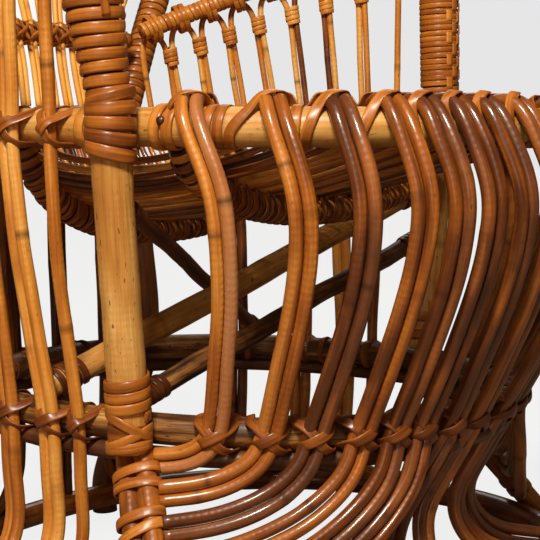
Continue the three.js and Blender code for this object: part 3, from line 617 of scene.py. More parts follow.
def armPostPointAt(side, height):
    base, _ = armPostFrame(side)
    return base + armPostLean(side) * (height / armPost["length"])


# The left arm post swells by s s (3 - 2 s) above the seat; the right one is finer wrapped and straight.
def armPostReach(height, side):
    share = np.clip(np.asarray(height, float) / armPost["swellHeight"], 0, 1)
    if side > 0:
        return armPost["straightRadius"] + armPost["straightSwell"] * share
    return armPost["footRadius"] + armPost["swell"] * share * share * (3 - 2 * share)


# Upright peels woven over and under the turns on the front of an arm post: a clipped cosine of the height.
def addArmWeave(shape, base, lean, side):
    n = unit(acrossAxis(forward, lean))
    b = np.cross(lean, n)
    look = armLooks[side]
    thickness = look["thickness"]
    for k, turn in enumerate(look["weaveTurns"]):
        height = np.linspace(look["weaveFrom"] + weave["stagger"] * (k % 3), armPost["length"] - 3, 170)
        turned = math.pi * (k // 2 if side < 0 else k)
        wave = np.cos(math.pi * (height - weave["middle"]) / (2 * look["pitch"]) + turned)
        over = np.clip(weave["press"] * wave, -1, 1)
        reach = armPostReach(height, side) + thickness / 2 + weave["lift"] * thickness * over
        radial = math.cos(turn) * n + math.sin(turn) * b
        path = base + height[:, None] * lean + reach[:, None] * radial
        section = stripSection(weave["width"], weave["thickness"])
        addSweep(shape, path, section, outward=radial, tint=rng.uniform(0.4, 0.66))


def buildPosts():
    for side, label in bothSides:
        makePiece("post_" + label, pole(postPath(side), postRadius, forward, 0.68, knots=310, sides=32),
                  pale, "pale_cane", "front_post_" + label)
        base, lean = armPostFrame(side)
        spine = base + np.linspace(0, armPost["length"], 60)[:, None] * lean
        shape = newShape()
        reach = (armPostReach(lengthAlong(spine), side) - 0.6) / armPost["footRadius"]
        core = roundSection(armPost["footRadius"] - 0.4, 24)
        addSweep(shape, spine, core, side=forward, size=reach, tint=0.2)
        makePiece("arm_core_" + label, shape, darkCane, "honey_cane", "arm_post_" + label)
        shape = newShape()
        look = armLooks[side]
        addWinding(shape, spine, lambda height: armPostReach(height, side), 1.0, look["turns"],
                   look["pitch"], look["width"], look["thickness"], hint=forward, tint=0.5, ragged=0.8,
                   level=True)
        addArmWeave(shape, base, lean, side)
        makePiece("arm_peel_" + label, shape, peelSkin, "peel", "arm_wrap_" + label)


buildPosts()
print("posts made")

# Skirt: pairs of canes from the seat rail, over the waist hoop and round to the legs or the floor

caneRadius = 5.2
pairHalf = 10.4  # from the middle of a pair to its outer side
hoopSides = 8  # of the CAD's hoops, which the canes clear at their corners
# Places round a hoop are in quarter turns from the front, one for each pair from the post to the middle.
skirt = {
    "seat": {-1: (0.82, 0.665, 0.545, 0.44, 0.368, 0.298, 0.224, 0.135),
             1: (0.82, 0.665, 0.545, 0.44, 0.35, 0.27, 0.18, 0.06)},
    "waist": (0.7, 0.588, 0.49, 0.389, 0.306, 0.234, 0.146, 0.06),
    "floor": (0.36, 0.16),
    "tints": {-1: (0.67, 0.54, 0.22, 0.37, 0.25, 0.27, 0.24, 0.33),
              1: (0.4, 0.38, 0.22, 0.34, 0.25, 0.3, 0.22, 0.27)},
    # each pair's two shares of the pale pinkish tan, partly dust and partly a painted sheen
    "dustAndSheen": ((0.75, 0.05), (0.0, 0.08), (0.15, 0.05), (0.0, 0.05), (0.12, 0.0), (0.0, 0.1), (0.1, 0.0),
             (0.0, 0.1)),
    "railTurns": (160, 132, 104, 76, 50, 26),
    "slant": 11,
    "bulge": 36,
    "bulgeShares": (0.08, 0.2, 0.38, 0.58, 0.8),
    "sweepShares": (0.22, 0.5, 0.76, 1),
    "tuck": (-20.0, 36.0, 0),
    "tuckShares": ((0.25, 0.0, 0.5), (0.52, 0.02, 1.0), (0.76, 0.22, 0.85), (0.92, 0.7, 0.3)),
}
leg = {"caneRadius": 8.1, "floorPlace": 0.72, "pairs": 6, "pairPitch": 21.2}


# Where a front leg starts under the waist hoop, passes the floor hoop and meets the floor.
def legPoints(side):
    top = -waistHoop["radius"] - gap
    outward = floorHoop["radius"] + leg["caneRadius"] + gap
    head = postPlace(waistHoop, side, leg["caneRadius"], top) + np.array([side * -2.0, 1.0, 0])
    knee = planPoint(floorHoop, side * leg["floorPlace"] * quarter, outward, floorHoop["radius"])
    foot = knee + (knee - head) * knee[2] / (head[2] - knee[2])
    foot[2] = 0
    return head, knee, foot


# The place at this height on the straight line of a front leg.
def legPointAt(side, height):
    head, knee, _ = legPoints(side)
    return head + (knee - head) * (head[2] - height) / (head[2] - knee[2])


# The way from one of a leg's canes to the other: along the waist hoop above, along the floor hoop below.
def legAlong(side, height):
    atWaist = np.cross(planNormal(waistHoop, side * postAngle(waistHoop)), up)
    atFloor = np.cross(planNormal(floorHoop, side * leg["floorPlace"] * quarter), up)
    share = (height - floorHoop["height"]) / (waistHoop["height"] - floorHoop["height"])
    share = np.clip(share, 0, 1)
    return unit(atFloor + (atWaist - atFloor) * share) * side


# Round the rail at a slant: the further down the outer side, the further along towards the front.
def overHoop(angle, direction):
    normal = planNormal(seatHoop, angle)
    centre = planPoint(seatHoop, angle)
    slant = skirt["slant"] * acrossAxis(direction, normal)
    reach = (seatHoop["radius"] + caneRadius + 0.3) / math.cos(math.pi / hoopSides)
    turns = np.radians(skirt["railTurns"])
    ring = centre + reach * (np.cos(turns)[:, None] * normal + np.sin(turns)[:, None] * up)
    return [*(ring + (1 - turns / quarter)[:, None] * slant)]


# Where a skirt cane lies on the waist hoop.
def waistPlace(angle):
    return planPoint(waistHoop, angle, waistHoop["radius"] + caneRadius + gap + 0.3)


# From the rail to the waist, bulging by amount sin(pi s^0.62), so the most above the middle.
def bulgePoints(seatAngle, waistAngle, amount, direction):
    start = planPoint(seatHoop, seatAngle, seatHoop["radius"] + caneRadius + 0.3)
    end = waistPlace(waistAngle)
    return [start + (end - start) * s + amount * math.sin(math.pi * s ** 0.62) * direction
            for s in skirt["bulgeShares"]]


# Each point is a share of the drop down, a share of the way out to the end, and a share of the tuck aside.
def fallPoints(start, end, shares, tuck=0.0):
    points = []
    for down, out, aside in shares:
        point = start + (end - start) * out + tuck * aside
        point[2] = start[2] + (end[2] - start[2]) * down
        points.append(point)
    return points


# A quarter of a round sweep: down by sin(turn), out by 1 - cos(turn).
def sweepPoints(start, end):
    turns = [share * quarter for share in skirt["sweepShares"]]
    return fallPoints(start, end, [(math.sin(turn), 1 - math.cos(turn), 0) for turn in turns])


# Out of the chair along a cane: by the seat's oval at the rail, by the waist's at the waist.
def outwardAlong(path, seatAngle, waistAngle):
    share = np.clip((seatHoop["height"] - path[:, 2:]) / (seatHoop["height"] - waistHoop["height"]), 0, 1)
    atSeat = planNormal(seatHoop, seatAngle)
    return atSeat + (planNormal(waistHoop, waistAngle) - atSeat) * share


# A pair lies side by side: across its way and across what is outward there, which is away from the
# rail's middle above the rail, and away from the chair's middle under the waist.
def pairSides(path, seatAngle, waistAngle):
    centre = planPoint(seatHoop, seatAngle)
    out = outwardAlong(path, seatAngle, waistAngle)
    out = np.where(path[:, 2:] > centre[2], path - centre, out)
    low = path[:, 2:] < underHoop["height"] - underHoop["radius"]
    out = np.where(low, path * np.array([1.0, 1.0, 0.0]), out)
    return unit(relaxed(unit(np.cross(wayAlong(path), unit(out))), 12))


# Two canes side by side, a little apart here and there by a sine of the length.
def addPair(shape, path, sides, radius, tint, spread=None, knots=240, dustAndSheenShares=(0.0, 0.0)):
    path = wander(path, 0.35)
    for way, dustAndSheen in zip((-1, 1), dustAndSheenShares):
        along = lengthAlong(path)
        loose = 0.25 * np.sin(along / 70 + rng.uniform(0, 6))
        cane = path + way * ((spread or radius + 0.05) + loose)[:, None] * sides
        addSweep(shape, cane, roundSection(radius * rng.uniform(0.96, 1.03)), side=sides,
                 tint=tint + rng.uniform(-0.09, 0.09), knots=knots, size=uneven(cane, 0.02), dustAndSheen=dustAndSheen)


# Over the rail, out in a bulge to the waist, then round to the leg or down to the floor hoop. The pairs
# near the middle lean back and sideways under the waist before they reach the floor hoop.
def skirtPath(side, index):
    seatAngle = side * skirt["seat"][side][index] * quarter
    waistAngle = side * skirt["waist"][index] * quarter
    direction = unit(forward + 0.25 * planNormal(seatHoop, seatAngle))
    waist = waistPlace(waistAngle)
    bulge = bulgePoints(seatAngle, waistAngle, skirt["bulge"], direction)
    points = [*overHoop(seatAngle, direction), *bulge[1:], waist]
    if index < leg["pairs"]:
        height = underHoop["height"] - leg["pairPitch"] * index
        reach = 2 * leg["caneRadius"] + 1.0
        points += sweepPoints(waist, legPointAt(side, height) + legAlong(side, height) * reach)
    else:
        floorAngle = side * skirt["floor"][index - leg["pairs"]] * quarter
        end = planPoint(floorHoop, floorAngle, 0, floorHoop["radius"] + 0.3)
        points += [*fallPoints(waist, end, skirt["tuckShares"], np.array(skirt["tuck"])), end]
    return bend(points, step=4.5, relax=8), seatAngle, waistAngle


def buildSkirt():
    for side, label in bothSides:
        for index in range(len(skirt["waist"])):
            path, seatAngle, waistAngle = skirtPath(side, index)
            shape = newShape()
            addPair(shape, path, pairSides(path, seatAngle, waistAngle), caneRadius,
                    skirt["tints"][side][index], dustAndSheenShares=skirt["dustAndSheen"][index])
            name = label + "_" + str(index + 1)
            slotName = "red_cane" if index == 2 else "honey_cane"
            makePiece("skirt_" + name, shape, honey, slotName, "skirt_pair_" + name)


buildSkirt()
print("skirt made")

# Side canes: one beside the post, then pairs round to the back

sidePairs = {
    "seat": (1.058, 1.1635, 1.245, 1.42, 1.78, 1.92),
    "waist": (0.988, 1.053, 1.175, 1.36, 1.76, 1.92),
    "tints": (0.56, 0.72, 0.56, 0.38, 0.28, 0.24),
    "bulge": 5,
    "flareShares": ((0.3, -0.03, 0), (0.64, -0.04, 0), (0.86, 0.28, 0)),
    "headInset": 13.5,
    "headRise": 12,
}


# The canes beside the post go on up the inner side of the armrest.
def sideHead(side, index, start):
    _, top, _, end = armRailPoints(side)
    head = top + (end - top) * (start[1] - top[1]) / (end[1] - top[1])
    across = unit(np.cross(end - top, up))
    inset = sidePairs["headInset"] + caneRadius * (1 + index)
    head = head - side * inset * across + sidePairs["headRise"] * up
    return [head, (head + start) / 2]


# Down beside the rail, in a slight bulge to the waist, then in a flare to the floor hoop.
def sidePath(side, index):
    seatAngle = side * sidePairs["seat"][index] * quarter
    waistAngle = side * sidePairs["waist"][index] * quarter
    outward = seatHoop["radius"] + caneRadius + gap
    normal = planNormal(seatHoop, seatAngle)
    waist = waistPlace(waistAngle)
    end = planPoint(floorHoop, waistAngle, 0, floorHoop["radius"] + 0.3)
    points = [
        planPoint(seatHoop, seatAngle, outward, seatHoop["radius"]),
        planPoint(seatHoop, seatAngle, outward, -seatHoop["radius"]),
        *bulgePoints(seatAngle, waistAngle, sidePairs["bulge"], normal)[2:-1], waist,
        *fallPoints(waist, end, sidePairs["flareShares"]), end,
    ]
    if index < 2 and side < 0:
        points = sideHead(side, index, points[0]) + points
    return bend(points, step=5, relax=8), seatAngle, waistAngle


def buildSides():
    for side, label in bothSides:
        for index, tint in enumerate(sidePairs["tints"]):
            path, seatAngle, waistAngle = sidePath(side, index)
            sides = unit(np.cross(outwardAlong(path, seatAngle, waistAngle), up))
            shape = newShape()
            if index == 0:
                addSweep(shape, wander(path, 0.5), roundSection(caneRadius), side=sides, tint=tint,
                         knots=210)
            else:
                addPair(shape, path, sides, caneRadius, tint)
            name = label + "_" + str(index + 1)
            makePiece("side_" + name, shape, honey, "honey_cane", "side_pair_" + name)


def buildLegs():
    for side, label in bothSides:
        head, knee, foot = legPoints(side)
        path = bend([head, legPointAt(side, 150), legPointAt(side, 90), knee, foot], step=5, relax=3)
        sides = unit(np.stack([legAlong(side, z) for z in path[:, 2]]))
        shape = newShape()
        for way in (-1, 1):
            cane = path + way * (leg["caneRadius"] - 0.45) * sides
            addSweep(shape, cane, roundSection(leg["caneRadius"], 18), side=sides, tint=0.4 + 0.04 * way,
                     knots=150)
        makePiece("leg_" + label, shape, honey, "honey_cane", "front_leg_" + label)


buildLegs()

# Seat: a dish of thin canes on two lashed beams

# A peel's four numbers are its distance from the pole's ends, its pitch, its width and its thickness.
deck = {"sag": 70, "backShare": 0.6, "caneRadius": 2.75, "spacing": 8.2, "perSide": 23,
        "edgeRadius": 4.5, "edgeSides": 5, "beamRadius": 10, "beamPlaces": (-20, 150),
        "beamPeel": (6, 8.4, 6.4, 1.6)}
deckInset = seatHoop["radius"] + deck["edgeRadius"] / math.cos(math.pi / deck["edgeSides"]) + 0.3
deckPlan = {key: seatHoop[key] - deckInset for key in ("halfWidth", "frontReach", "backReach")}


# z = rail - sag (1 - |x/w|^p - |y/l|^p)^0.5 (1 + share y/l), so the dish is deepest towards the back.
def deckHeight(x, y):
    across = np.abs(x / deckPlan["halfWidth"]) ** planPower
    v = (y - planMiddle(deckPlan)) / planLength(deckPlan)
    hollow = np.maximum(0, 1 - across - np.abs(v) ** planPower) ** 0.5
    return seatHoop["height"] - deck["sag"] * hollow * (1 + deck["backShare"] * v)


# From front to back, y = m - cos(turn) times half the length there, in the dish.
def deckCanePath(x):
    room = (1 - abs(x / deckPlan["halfWidth"]) ** planPower) ** (1 / planPower)
    turn = np.linspace(0, math.pi, 70)
    y = planMiddle(deckPlan) - np.cos(turn) * room * planLength(deckPlan)
    return relaxed(np.stack([x + 0 * y, y, deckHeight(x, y)], -1), 3)


# From left to right under the canes, x = -cos(turn) times half the width there.
def beamPath(y):
    along = abs((y - planMiddle(deckPlan)) / planLength(deckPlan)) ** planPower
    reach = deckPlan["halfWidth"] * (1 - along) ** (1 / planPower) + 3
    x = -np.cos(np.linspace(0, math.pi, 60)) * reach
    drop = deck["caneRadius"] + deck["beamRadius"] - 0.5
    return relaxed(np.stack([x, y + 0 * x, deckHeight(x, y) - drop], -1), 6)


def buildSeat():
    shape = newShape()
    canes = range(-deck["perSide"], deck["perSide"] + 1)
    for i in canes:
        path = wander(deckCanePath(i * deck["spacing"]), 0.5)
        # the tints differ at random, and their wide bright spread also paints golden highlights on the canes
        # under the seat
        addSweep(shape, path, roundSection(deck["caneRadius"], 12), side=np.array([1.0, 0, 0]),
                 tint=rng.uniform(0.05, 0.85), knots=170)
    makePiece("seat_canes", shape, honey, "honey_cane", "seat_deck")
    shape, ties = newShape(), newShape()
    for y in deck["beamPlaces"]:
        path = beamPath(y)
        addSweep(shape, path, roundSection(deck["beamRadius"], 20), side=forward, tint=0.4, knots=160)
        wrapPole(ties, path, deck["beamRadius"], *deck["beamPeel"], hint=forward, ragged=0.8)
        for i in canes[::2]:
            x = i * deck["spacing"]
            if abs(x) < abs(path[0, 0]) - 6:
                index = int(np.argmin(np.abs(path[:, 0] - x)))
                spot = poleFrame(path[index], wayAlong(path)[index], up)
                addCross(ties, spot, deck["beamRadius"] + 1.4, deck["caneRadius"], deck["caneRadius"] - 0.8,
                         width=4.4, thickness=1.4, spread=2.6, tint=rng.uniform(0.2, 0.5))
    makePiece("seat_beams", shape, darkCane, "dark_cane")
    makePiece("seat_ties", ties, peelSkin, "peel")


buildSeat()
print("seat made")

# Braces under the seat: each runs between the inside of a post, so far under the rail, and a place on
# the waist hoop.
# The upper brace's high tint paints the light that falls on it, and the lower brace's low tint paints the
# shade it lies in.
braces = {
    "upper": {"postSide": 1, "drop": 58, "aside": 0.0, "waistY": 110, "radius": 11, "tint": 0.6},
    "lower": {"postSide": 1, "drop": 109, "aside": 0.0, "waistY": 22, "radius": 8.5, "tint": 0.36},
    "thin": {"postSide": -1, "drop": 60, "aside": 6.5, "waistY": 180, "radius": 6.5, "tint": 0.75},
}
braceFinishes = {"upper": (pale, "pale_cane"), "lower": (wornAndPaintedShade, "pale_cane"),
                 "thin": (darkCane, "dark_cane")}
braceTie = {"inset": 4, "farInset": 34, "pitch": 7.0, "width": 6.2, "thickness": 1.7}


# The ends of a brace, the left one first.
def braceEnds(brace):
    side, radius = brace["postSide"], brace["radius"]
    seatEnd, waistEnd = (postPlace(plan, side, postRadius, 0) for plan in (seatHoop, waistHoop))
    inside = seatEnd + (waistEnd - seatEnd) * brace["drop"] / (seatHoop["height"] - waistHoop["height"])
    inside = inside + np.array([-side * (postRadius + radius), brace["aside"], 0])
    angle = -side * angleAtY(waistHoop, brace["waistY"])
    onWaist = planPoint(waistHoop, angle, 0, waistHoop["radius"] + radius + 0.3)
    return (onWaist, inside) if side > 0 else (inside, onWaist)


def buildBraces():
    ties = newShape()
    pitch, width, thickness = (braceTie[key] for key in ("pitch", "width", "thickness"))
    for name, brace in braces.items():
        start, end = braceEnds(brace)
        path = wander(start + (end - start) * np.linspace(0, 1, 90)[:, None], 0.8)
        makePiece("strut_" + name, pole(path, brace["radius"], up, brace["tint"], knots=190, amount=0.03),
                  *braceFinishes[name], "brace_" + name)
        far = lengthAlong(path)[-1] - braceTie["farInset"]
        addWinding(ties, path, brace["radius"], braceTie["inset"], 3.4, pitch, width, thickness, tint=0.2)
        addWinding(ties, path, brace["radius"], far, 4.0, pitch, width, thickness, tint=0.3)
    makePiece("strut_ties", ties, peelSkin, "peel")


buildBraces()

# Arm panels: a wrapped rail over a chain of thin arches

arch = {"radius": 3.0, "count": 8, "firstPlace": 32, "lastShare": 1.66, "shoulderPlace": 0.14,
        "springDrop": 24, "shoulderDrop": 8, "crown": -5, "lean": 0.16, "leanSpan": 0.5,
        "growth": 0.035, "firstShown": {-1: 3, 1: 0}}
panelRail = {"radius": 9.5, "core": 7.3, "frontRise": 176, "backRise": 95, "peel": (2, 5.0, 4.8, 1.6)}
archFront = angleAtY(seatHoop, arch["firstPlace"])
archSpan = arch["lastShare"] * quarter - archFront


# The rail falls in a straight line from the front to the back.
def panelRise(angle):
    share = (angle - archFront) / archSpan
    return panelRail["frontRise"] + (panelRail["backRise"] - panelRail["frontRise"]) * share


# The arches grow a little wider towards the back, by a sine of the share.
def archAngle(place):
    share = place / arch["count"]
    share = share - arch["growth"] * math.sin(math.pi * share)
    return archFront + share * archSpan


# The arches lean back as they rise, those near the back the most.
def archPoint(side, angle, rise, inward=0.0):
    share = np.clip((angle - archFront) / arch["leanSpan"], 0, 1)
    shift = arch["lean"] * share * rise / seatHoop["halfWidth"]
    return planPoint(seatHoop, side * (angle + shift), -inward, rise)


# Two upright legs from the rail to the springs, then a curve over the shoulders and the crown.
def archPath(side, index, inset):
    start, end = archAngle(index + inset), archAngle(index + 1 - inset)
    crown = panelRise((start + end) / 2) + arch["crown"]
    spring, shoulder = crown - arch["springDrop"], crown - arch["shoulderDrop"]
    foot = seatHoop["radius"] + 0.3
    place = arch["shoulderPlace"]
    keys = [(0, foot), (0, spring * 0.5), (0, spring), (place, shoulder), (0.5, crown),
            (1 - place, shoulder), (1, spring), (1, spring * 0.5), (1, foot)]
    points = [archPoint(side, start + (end - start) * s, rise) for s, rise in keys]
    return bend(points, step=3.5, relax=3), planNormal(seatHoop, side * (start + end) / 2)


# Along the tops of the arches from the back, then on to the side of the arm post.
def panelRailPath(side):
    angles = np.array([archAngle(i) for i in range(arch["count"] + 1)])[::-1]
    inward = -(panelRail["radius"] + arch["radius"] + gap)
    points = np.stack([archPoint(side, a, panelRise(a), -inward) for a in angles])
    post = armPostPointAt(side, panelRail["frontRise"] - seatHoop["radius"])
    away = unit((points[-1] - post) * np.array([1.0, 1.0, 0.0]))
    end = post + away * (armPost["topRadius"] + 3 + panelRail["radius"])
    end[2] = points[-1][2]
    return bend([*points, end], step=4, relax=4)


# A peel round the two legs that meet between neighbouring arches.
def addArchTie(ties, side, angle, tint):
    spring = panelRise(angle) + arch["crown"] - arch["springDrop"]
    top, low = (archPoint(side, angle, spring + rise) for rise in (3, -17))
    spine = top + np.linspace(0, 1, 12)[:, None] * (low - top)
    addWinding(ties, spine, 2 * arch["radius"] + 0.3, 0, 3.6, 4.6, 4.4, 1.2,
               hint=planNormal(seatHoop, side * angle), tint=tint)


# Two bands that hold an arch's crown to the rail.
def addCrownBands(ties, side, angle):
    centre = archPoint(side, angle, panelRise(angle), (panelRail["radius"] + arch["radius"]) / 2)
    ahead, behind = (archPoint(side, angle + turn, panelRise(angle + turn)) for turn in (0.02, -0.02))
    way = unit(ahead - behind)
    for shift in (-2.9, 2.9):
        addBand(ties, centre + shift * way - 1.5 * up, way, up, panelRail["radius"] + 3.4, 5.4, 1.6,
                tint=0.62, stretch=1.02)


def buildArms():
    span = np.linalg.norm(planPoint(seatHoop, archAngle(0)) - planPoint(seatHoop, archAngle(1)))
    inset = 1.28 * arch["radius"] / span
    for side, label in bothSides:
        shape, ties = newShape(), newShape()
        shown = range(arch["firstShown"][side], arch["count"])
        for index in shown:
            path, normal = archPath(side, index, inset)
            # the high tints paint the strong light that falls on the arches
            tint = 0.3 if side > 0 and index == 2 else rng.uniform(0.68, 0.92)
            section = roundSection(arch["radius"], 12)
            addSweep(shape, wander(path, 0.3), section, side=normal, tint=tint, knots=90)
        for index in shown[1:]:
            addArchTie(ties, side, archAngle(index), rng.uniform(0.6, 0.8))
        makePiece("arm_arch_" + label, shape, honey, "honey_cane", "arm_arches_" + label)
        rail = panelRailPath(side)
        makePiece("arm_under_" + label, pole(rail, panelRail["core"], up, 0.4), honey, "honey_cane",
                  "arm_panel_rail_" + label)
        wrapPole(ties, rail, panelRail["core"], *panelRail["peel"], tint=0.64)
        for index in shown:
            addCrownBands(ties, side, archAngle(index + 0.5))
        makePiece("arm_ties_" + label, ties, peelSkin, "peel")


buildArms()
print("arms made")

# Back: two hoops, a low rail and a fan of paired canes, in one tilted plane

back = {
    "foot": 118, "height": 900, "tilt": 0.175, "drop": 26, "hoopRadius": 14, "innerRadius": 9,
    "innerShare": 0.78, "innerRise": 120,
    "widthShares": (1, 1.25, 1.95, 2.9, 3.5, 3.644, 3.45, 2.8, 1.7, 0.6),
    "heightShares": (0, 0.06, 0.2, 0.36, 0.52, 0.66, 0.8, 0.91, 0.98, 1),
}
fan = {"radius": 2.8, "pairs": 11, "spacing": 20, "spread": 3.0, "hoopShare": 0.19,
       "railRise": 88, "railRadius": 8, "railReach": 126}
outerSize = (back["foot"], back["height"], 0)
innerSize = (back["foot"] * back["innerShare"], back["height"] * back["innerShare"], back["innerRise"])
backAngle = angleAtX(seatHoop, back["foot"])
backSlope = planNormal(seatHoop, backAngle)[1]
backY = planPoint(seatHoop, backAngle)[1] + (seatHoop["radius"] + back["hoopRadius"] + gap) / backSlope


# A hoop's points in the back's own plane, up its right side and down its left.
def hoopOutline(width, height, footRise):
    half = [(w * width, 0.0, footRise + (height - footRise) * h)
            for w, h in zip(back["widthShares"], back["heightShares"])]
    return np.array(half + [(-x, y, z) for x, y, z in half[::-1]], float)


# Turned back by the tilt about the seat hoop's level.
def backToChair(points):
    x, y, z = np.moveaxis(np.asarray(points, float), -1, 0)
    c, s = math.cos(back["tilt"]), math.sin(back["tilt"])
    return np.stack([x, backY + c * y + s * z, seatHoop["height"] - s * y + c * z], -1)


backward = backToChair([[0, 1, 0]])[0] - backToChair([[0, 0, 0]])[0]


# A smooth hoop in the tilted plane, this far out of it, with straight feet if it drops.
def hoopSpine(size, depth, drop=0.0):
    points = hoopOutline(*size)
    points[:, 1] = depth
    if drop:
        low = np.array([0, 0, -drop])
        points = np.vstack([points[0] + low, points, points[-1] + low])
    return backToChair(bend(points, step=7, relax=6))


def buildBackHoops():
    outer = hoopSpine(outerSize, 0, back["drop"])
    inner = hoopSpine(innerSize, back["innerRadius"] - back["hoopRadius"])
    core = back["hoopRadius"] - 0.5
    makePiece("hoop_outer", pole(outer, core, backward, 0.5), honey, "honey_cane", "back_outer_hoop")
    makePiece("hoop_inner", pole(inner, back["innerRadius"], backward, 0.45), honey, "honey_cane",
              "back_inner_hoop")
    ties = newShape()
    for spine, radius, pitch in ((outer, core, 8.2), (inner, back["innerRadius"], 7.4)):
        wrapPole(ties, spine, radius, 4, pitch, pitch - 0.5, 1.6, hint=backward, turnSteps=16, sides=8)
    makePiece("hoop_peel", ties, peelSkin, "peel")


# Pairs that stand side by side on the seat and spread from the low rail to places round the outer hoop.
def buildFan():
    shape, ties = newShape(), newShape()
    plane = -(back["hoopRadius"] + fan["radius"] + gap)
    outer, inner = (bend(hoopOutline(*size), step=3, relax=0) for size in (outerSize, innerSize))
    length = lengthAlong(outer)[-1]
    for i in range(fan["pairs"]):
        x = ((fan["pairs"] - 1) / 2 - i) * fan["spacing"]
        share = fan["hoopShare"] + (1 - 2 * fan["hoopShare"]) * i / (fan["pairs"] - 1)
        end = at(outer, np.array([share * length]))[0]
        points = [(x, plane, seatHoop["radius"] + 3), (x, plane, fan["railRise"]), (end[0], plane, end[2])]
        path = bend(points, step=6, relax=10)
        across = unit(np.cross(-forward, wayAlong(path)))
        world = backToChair(path)
        acrossWorld = unit(backToChair(path + across) - world)
        # the high tints also paint the fan as brightly lit
        addPair(shape, world, acrossWorld, fan["radius"], rng.uniform(0.85, 1.0), spread=fan["spread"],
                knots=150)
        apart = np.linalg.norm(path[:, None, ::2] - inner[None, :, ::2], axis=2)
        closest = int(np.argmin(apart.min(1)))
        for index in (closest, len(path) - 2):
            way = unit(world[index] - world[index - 2])
            addBand(ties, world[index] + 5 * backward, way, backward, 9.5, 6.5, 1.6, tint=0.6, stretch=1.15)
        spot = poleFrame(backToChair([[x, plane, fan["railRise"]]])[0], np.array([1.0, 0, 0]), -backward)
        addCross(ties, spot, fan["railRadius"] + 2.6, 2 * fan["radius"], fan["radius"] - 2.4, width=3.6,
                 thickness=1.3, spread=1.6, tint=0.6)
    makePiece("fan_canes", shape, fanPaintedLight, "pale_cane", "back_fan")
    reach = fan["railReach"]
    rail = backToChair(np.stack([np.linspace(-reach, reach, 70), np.full(70, plane + 2.0),
                                 np.full(70, fan["railRise"])], -1))
    makePiece("fan_rail", pole(rail, fan["railRadius"], up, 0.4), honey, "honey_cane")
    addWinding(ties, rail, fan["railRadius"], 2, (2 * reach - 4) / 6.2, 6.2, 5.6, 1.6)
    makePiece("fan_ties", ties, peelSkin, "peel")


buildBackHoops()
buildFan()
print("back made")

# Back legs, from the outer hoop's feet past the waist hoop and the floor hoop, and the armrests' top rails

rearLeg = {"radius": 13, "lean": 28}
armRail = {"radius": 13, "core": 12.4, "curl": (17, 34, 16.5)}


# Half the width of the outer hoop at this height.
def hoopHalfWidthAt(rise):
    points = hoopOutline(*outerSize)[:len(back["widthShares"])]
    return float(np.interp(rise, points[:, 2], points[:, 0]))


def buildBackLegs():
    outward = rearLeg["radius"] / math.cos(math.pi / hoopSides) + 0.3
    for side, label in bothSides:
        foot, lean = (backToChair([[side * back["foot"], 0, -back["drop"] - below]])[0]
                      for below in (gap, rearLeg["lean"]))
        waist, knee = (planPoint(plan, side * angleAtX(plan, back["foot"]), plan["radius"] + outward)
                       for plan in (waistHoop, floorHoop))
        knee = knee + floorHoop["radius"] * up
        path = bend([knee * np.array([1, 1, 0]), knee, waist, lean, foot], step=5, relax=4)
        makePiece("rear_leg_" + label, pole(path, rearLeg["radius"], forward, 0.85), darkCane, "dark_cane",
                  "back_leg_" + label)


# The curled tip in front of the arm post, the post's top, the curl between them, and the outer hoop.
def armRailPoints(side):
    tilt = math.atan(math.hypot(armPost["leanOut"], armPost["leanBack"]) / armPost["length"])
    x, y, z = armPostPointAt(side, armPost["length"])
    height = z + armRail["radius"] + armPost["topRadius"] * math.sin(tilt) + gap
    rise = (height - seatHoop["height"]) / math.cos(back["tilt"])
    hoop = backToChair([[side * hoopHalfWidthAt(rise), 0, rise]])[0]
    room = back["hoopRadius"] + armRail["radius"] * math.sin(back["tilt"]) + gap
    end = np.array([hoop[0], hoop[1] - room / math.cos(back["tilt"]), height])
    inward, ahead, fall = armRail["curl"]
    tip = np.array([x - side * inward, y - ahead, height - fall])
    curl = np.array([x - side * inward * 0.25, y - ahead * 0.75, height])
    return tip, np.array([x, y, height]), curl, end


def buildArmRails():
    for side, label in bothSides:
        tip, top, curl, end = armRailPoints(side)
        path = bend([tip, curl, top, (top + end) / 2, end], step=5, relax=4)
        makePiece("arm_top_" + label, pole(path, armRail["core"], up, 0.5), honey, "honey_cane",
                  "arm_rail_" + label)
        ties = newShape()
        length = lengthAlong(path)[-1]
        addWinding(ties, path, armRail["core"], 4, (length - 9) / 8, 8, 7.5, 1.7, tint=0.58)
        makePiece("arm_top_peel_" + label, ties, peelSkin, "peel")


buildBackLegs()
buildArmRails()
buildSides()
print("legs and armrests made")


# Peel lashings of the skirt, the rails and the joints

railPeel = {"width": 8.2, "thickness": 1.7, "topWidth": 7.4, "topReach": 26, "topRise": 9}
footBands = ((8.5, 9.0, 7.4), (-8.0, -2.0, 8.4), (-1.5, -7.5, 7.0))  # rise, tip, width
legBands = ((158, 1.0), (149.5, -1.0), (130, 2.0), (121, 5.0), (98, 1.0), (89, -1.0), (58, 1.0), (49, 1.5))
jointBands = ((-17.5, -4.2), (-7.3, -2.8), (2.9, -1.0), (13.1, 1.2))  # rise, tip
railBands = ((46, 0.7), (-19, 0.6), (-29, 0.5))  # Y, tint
nailY = -25
railAngles = np.linspace(-math.pi, math.pi, 1441)
railLengths = lengthAlong(planPoint(seatHoop, railAngles))


# Along the seat rail: its middle + reach (cos(psi) outward + sin(psi) up), for places as lengths along it.
def addRailPeel(shape, places, psi, reach, width, tint):
    angle = np.interp(places, railLengths, railAngles)
    radial = np.cos(psi)[:, None] * planNormal(seatHoop, angle) + np.sin(psi)[:, None] * up
    path = planPoint(seatHoop, angle) + reach[:, None] * radial
    addSweep(shape, path, stripSection(width, railPeel["thickness"]), outward=radial, tint=tint)


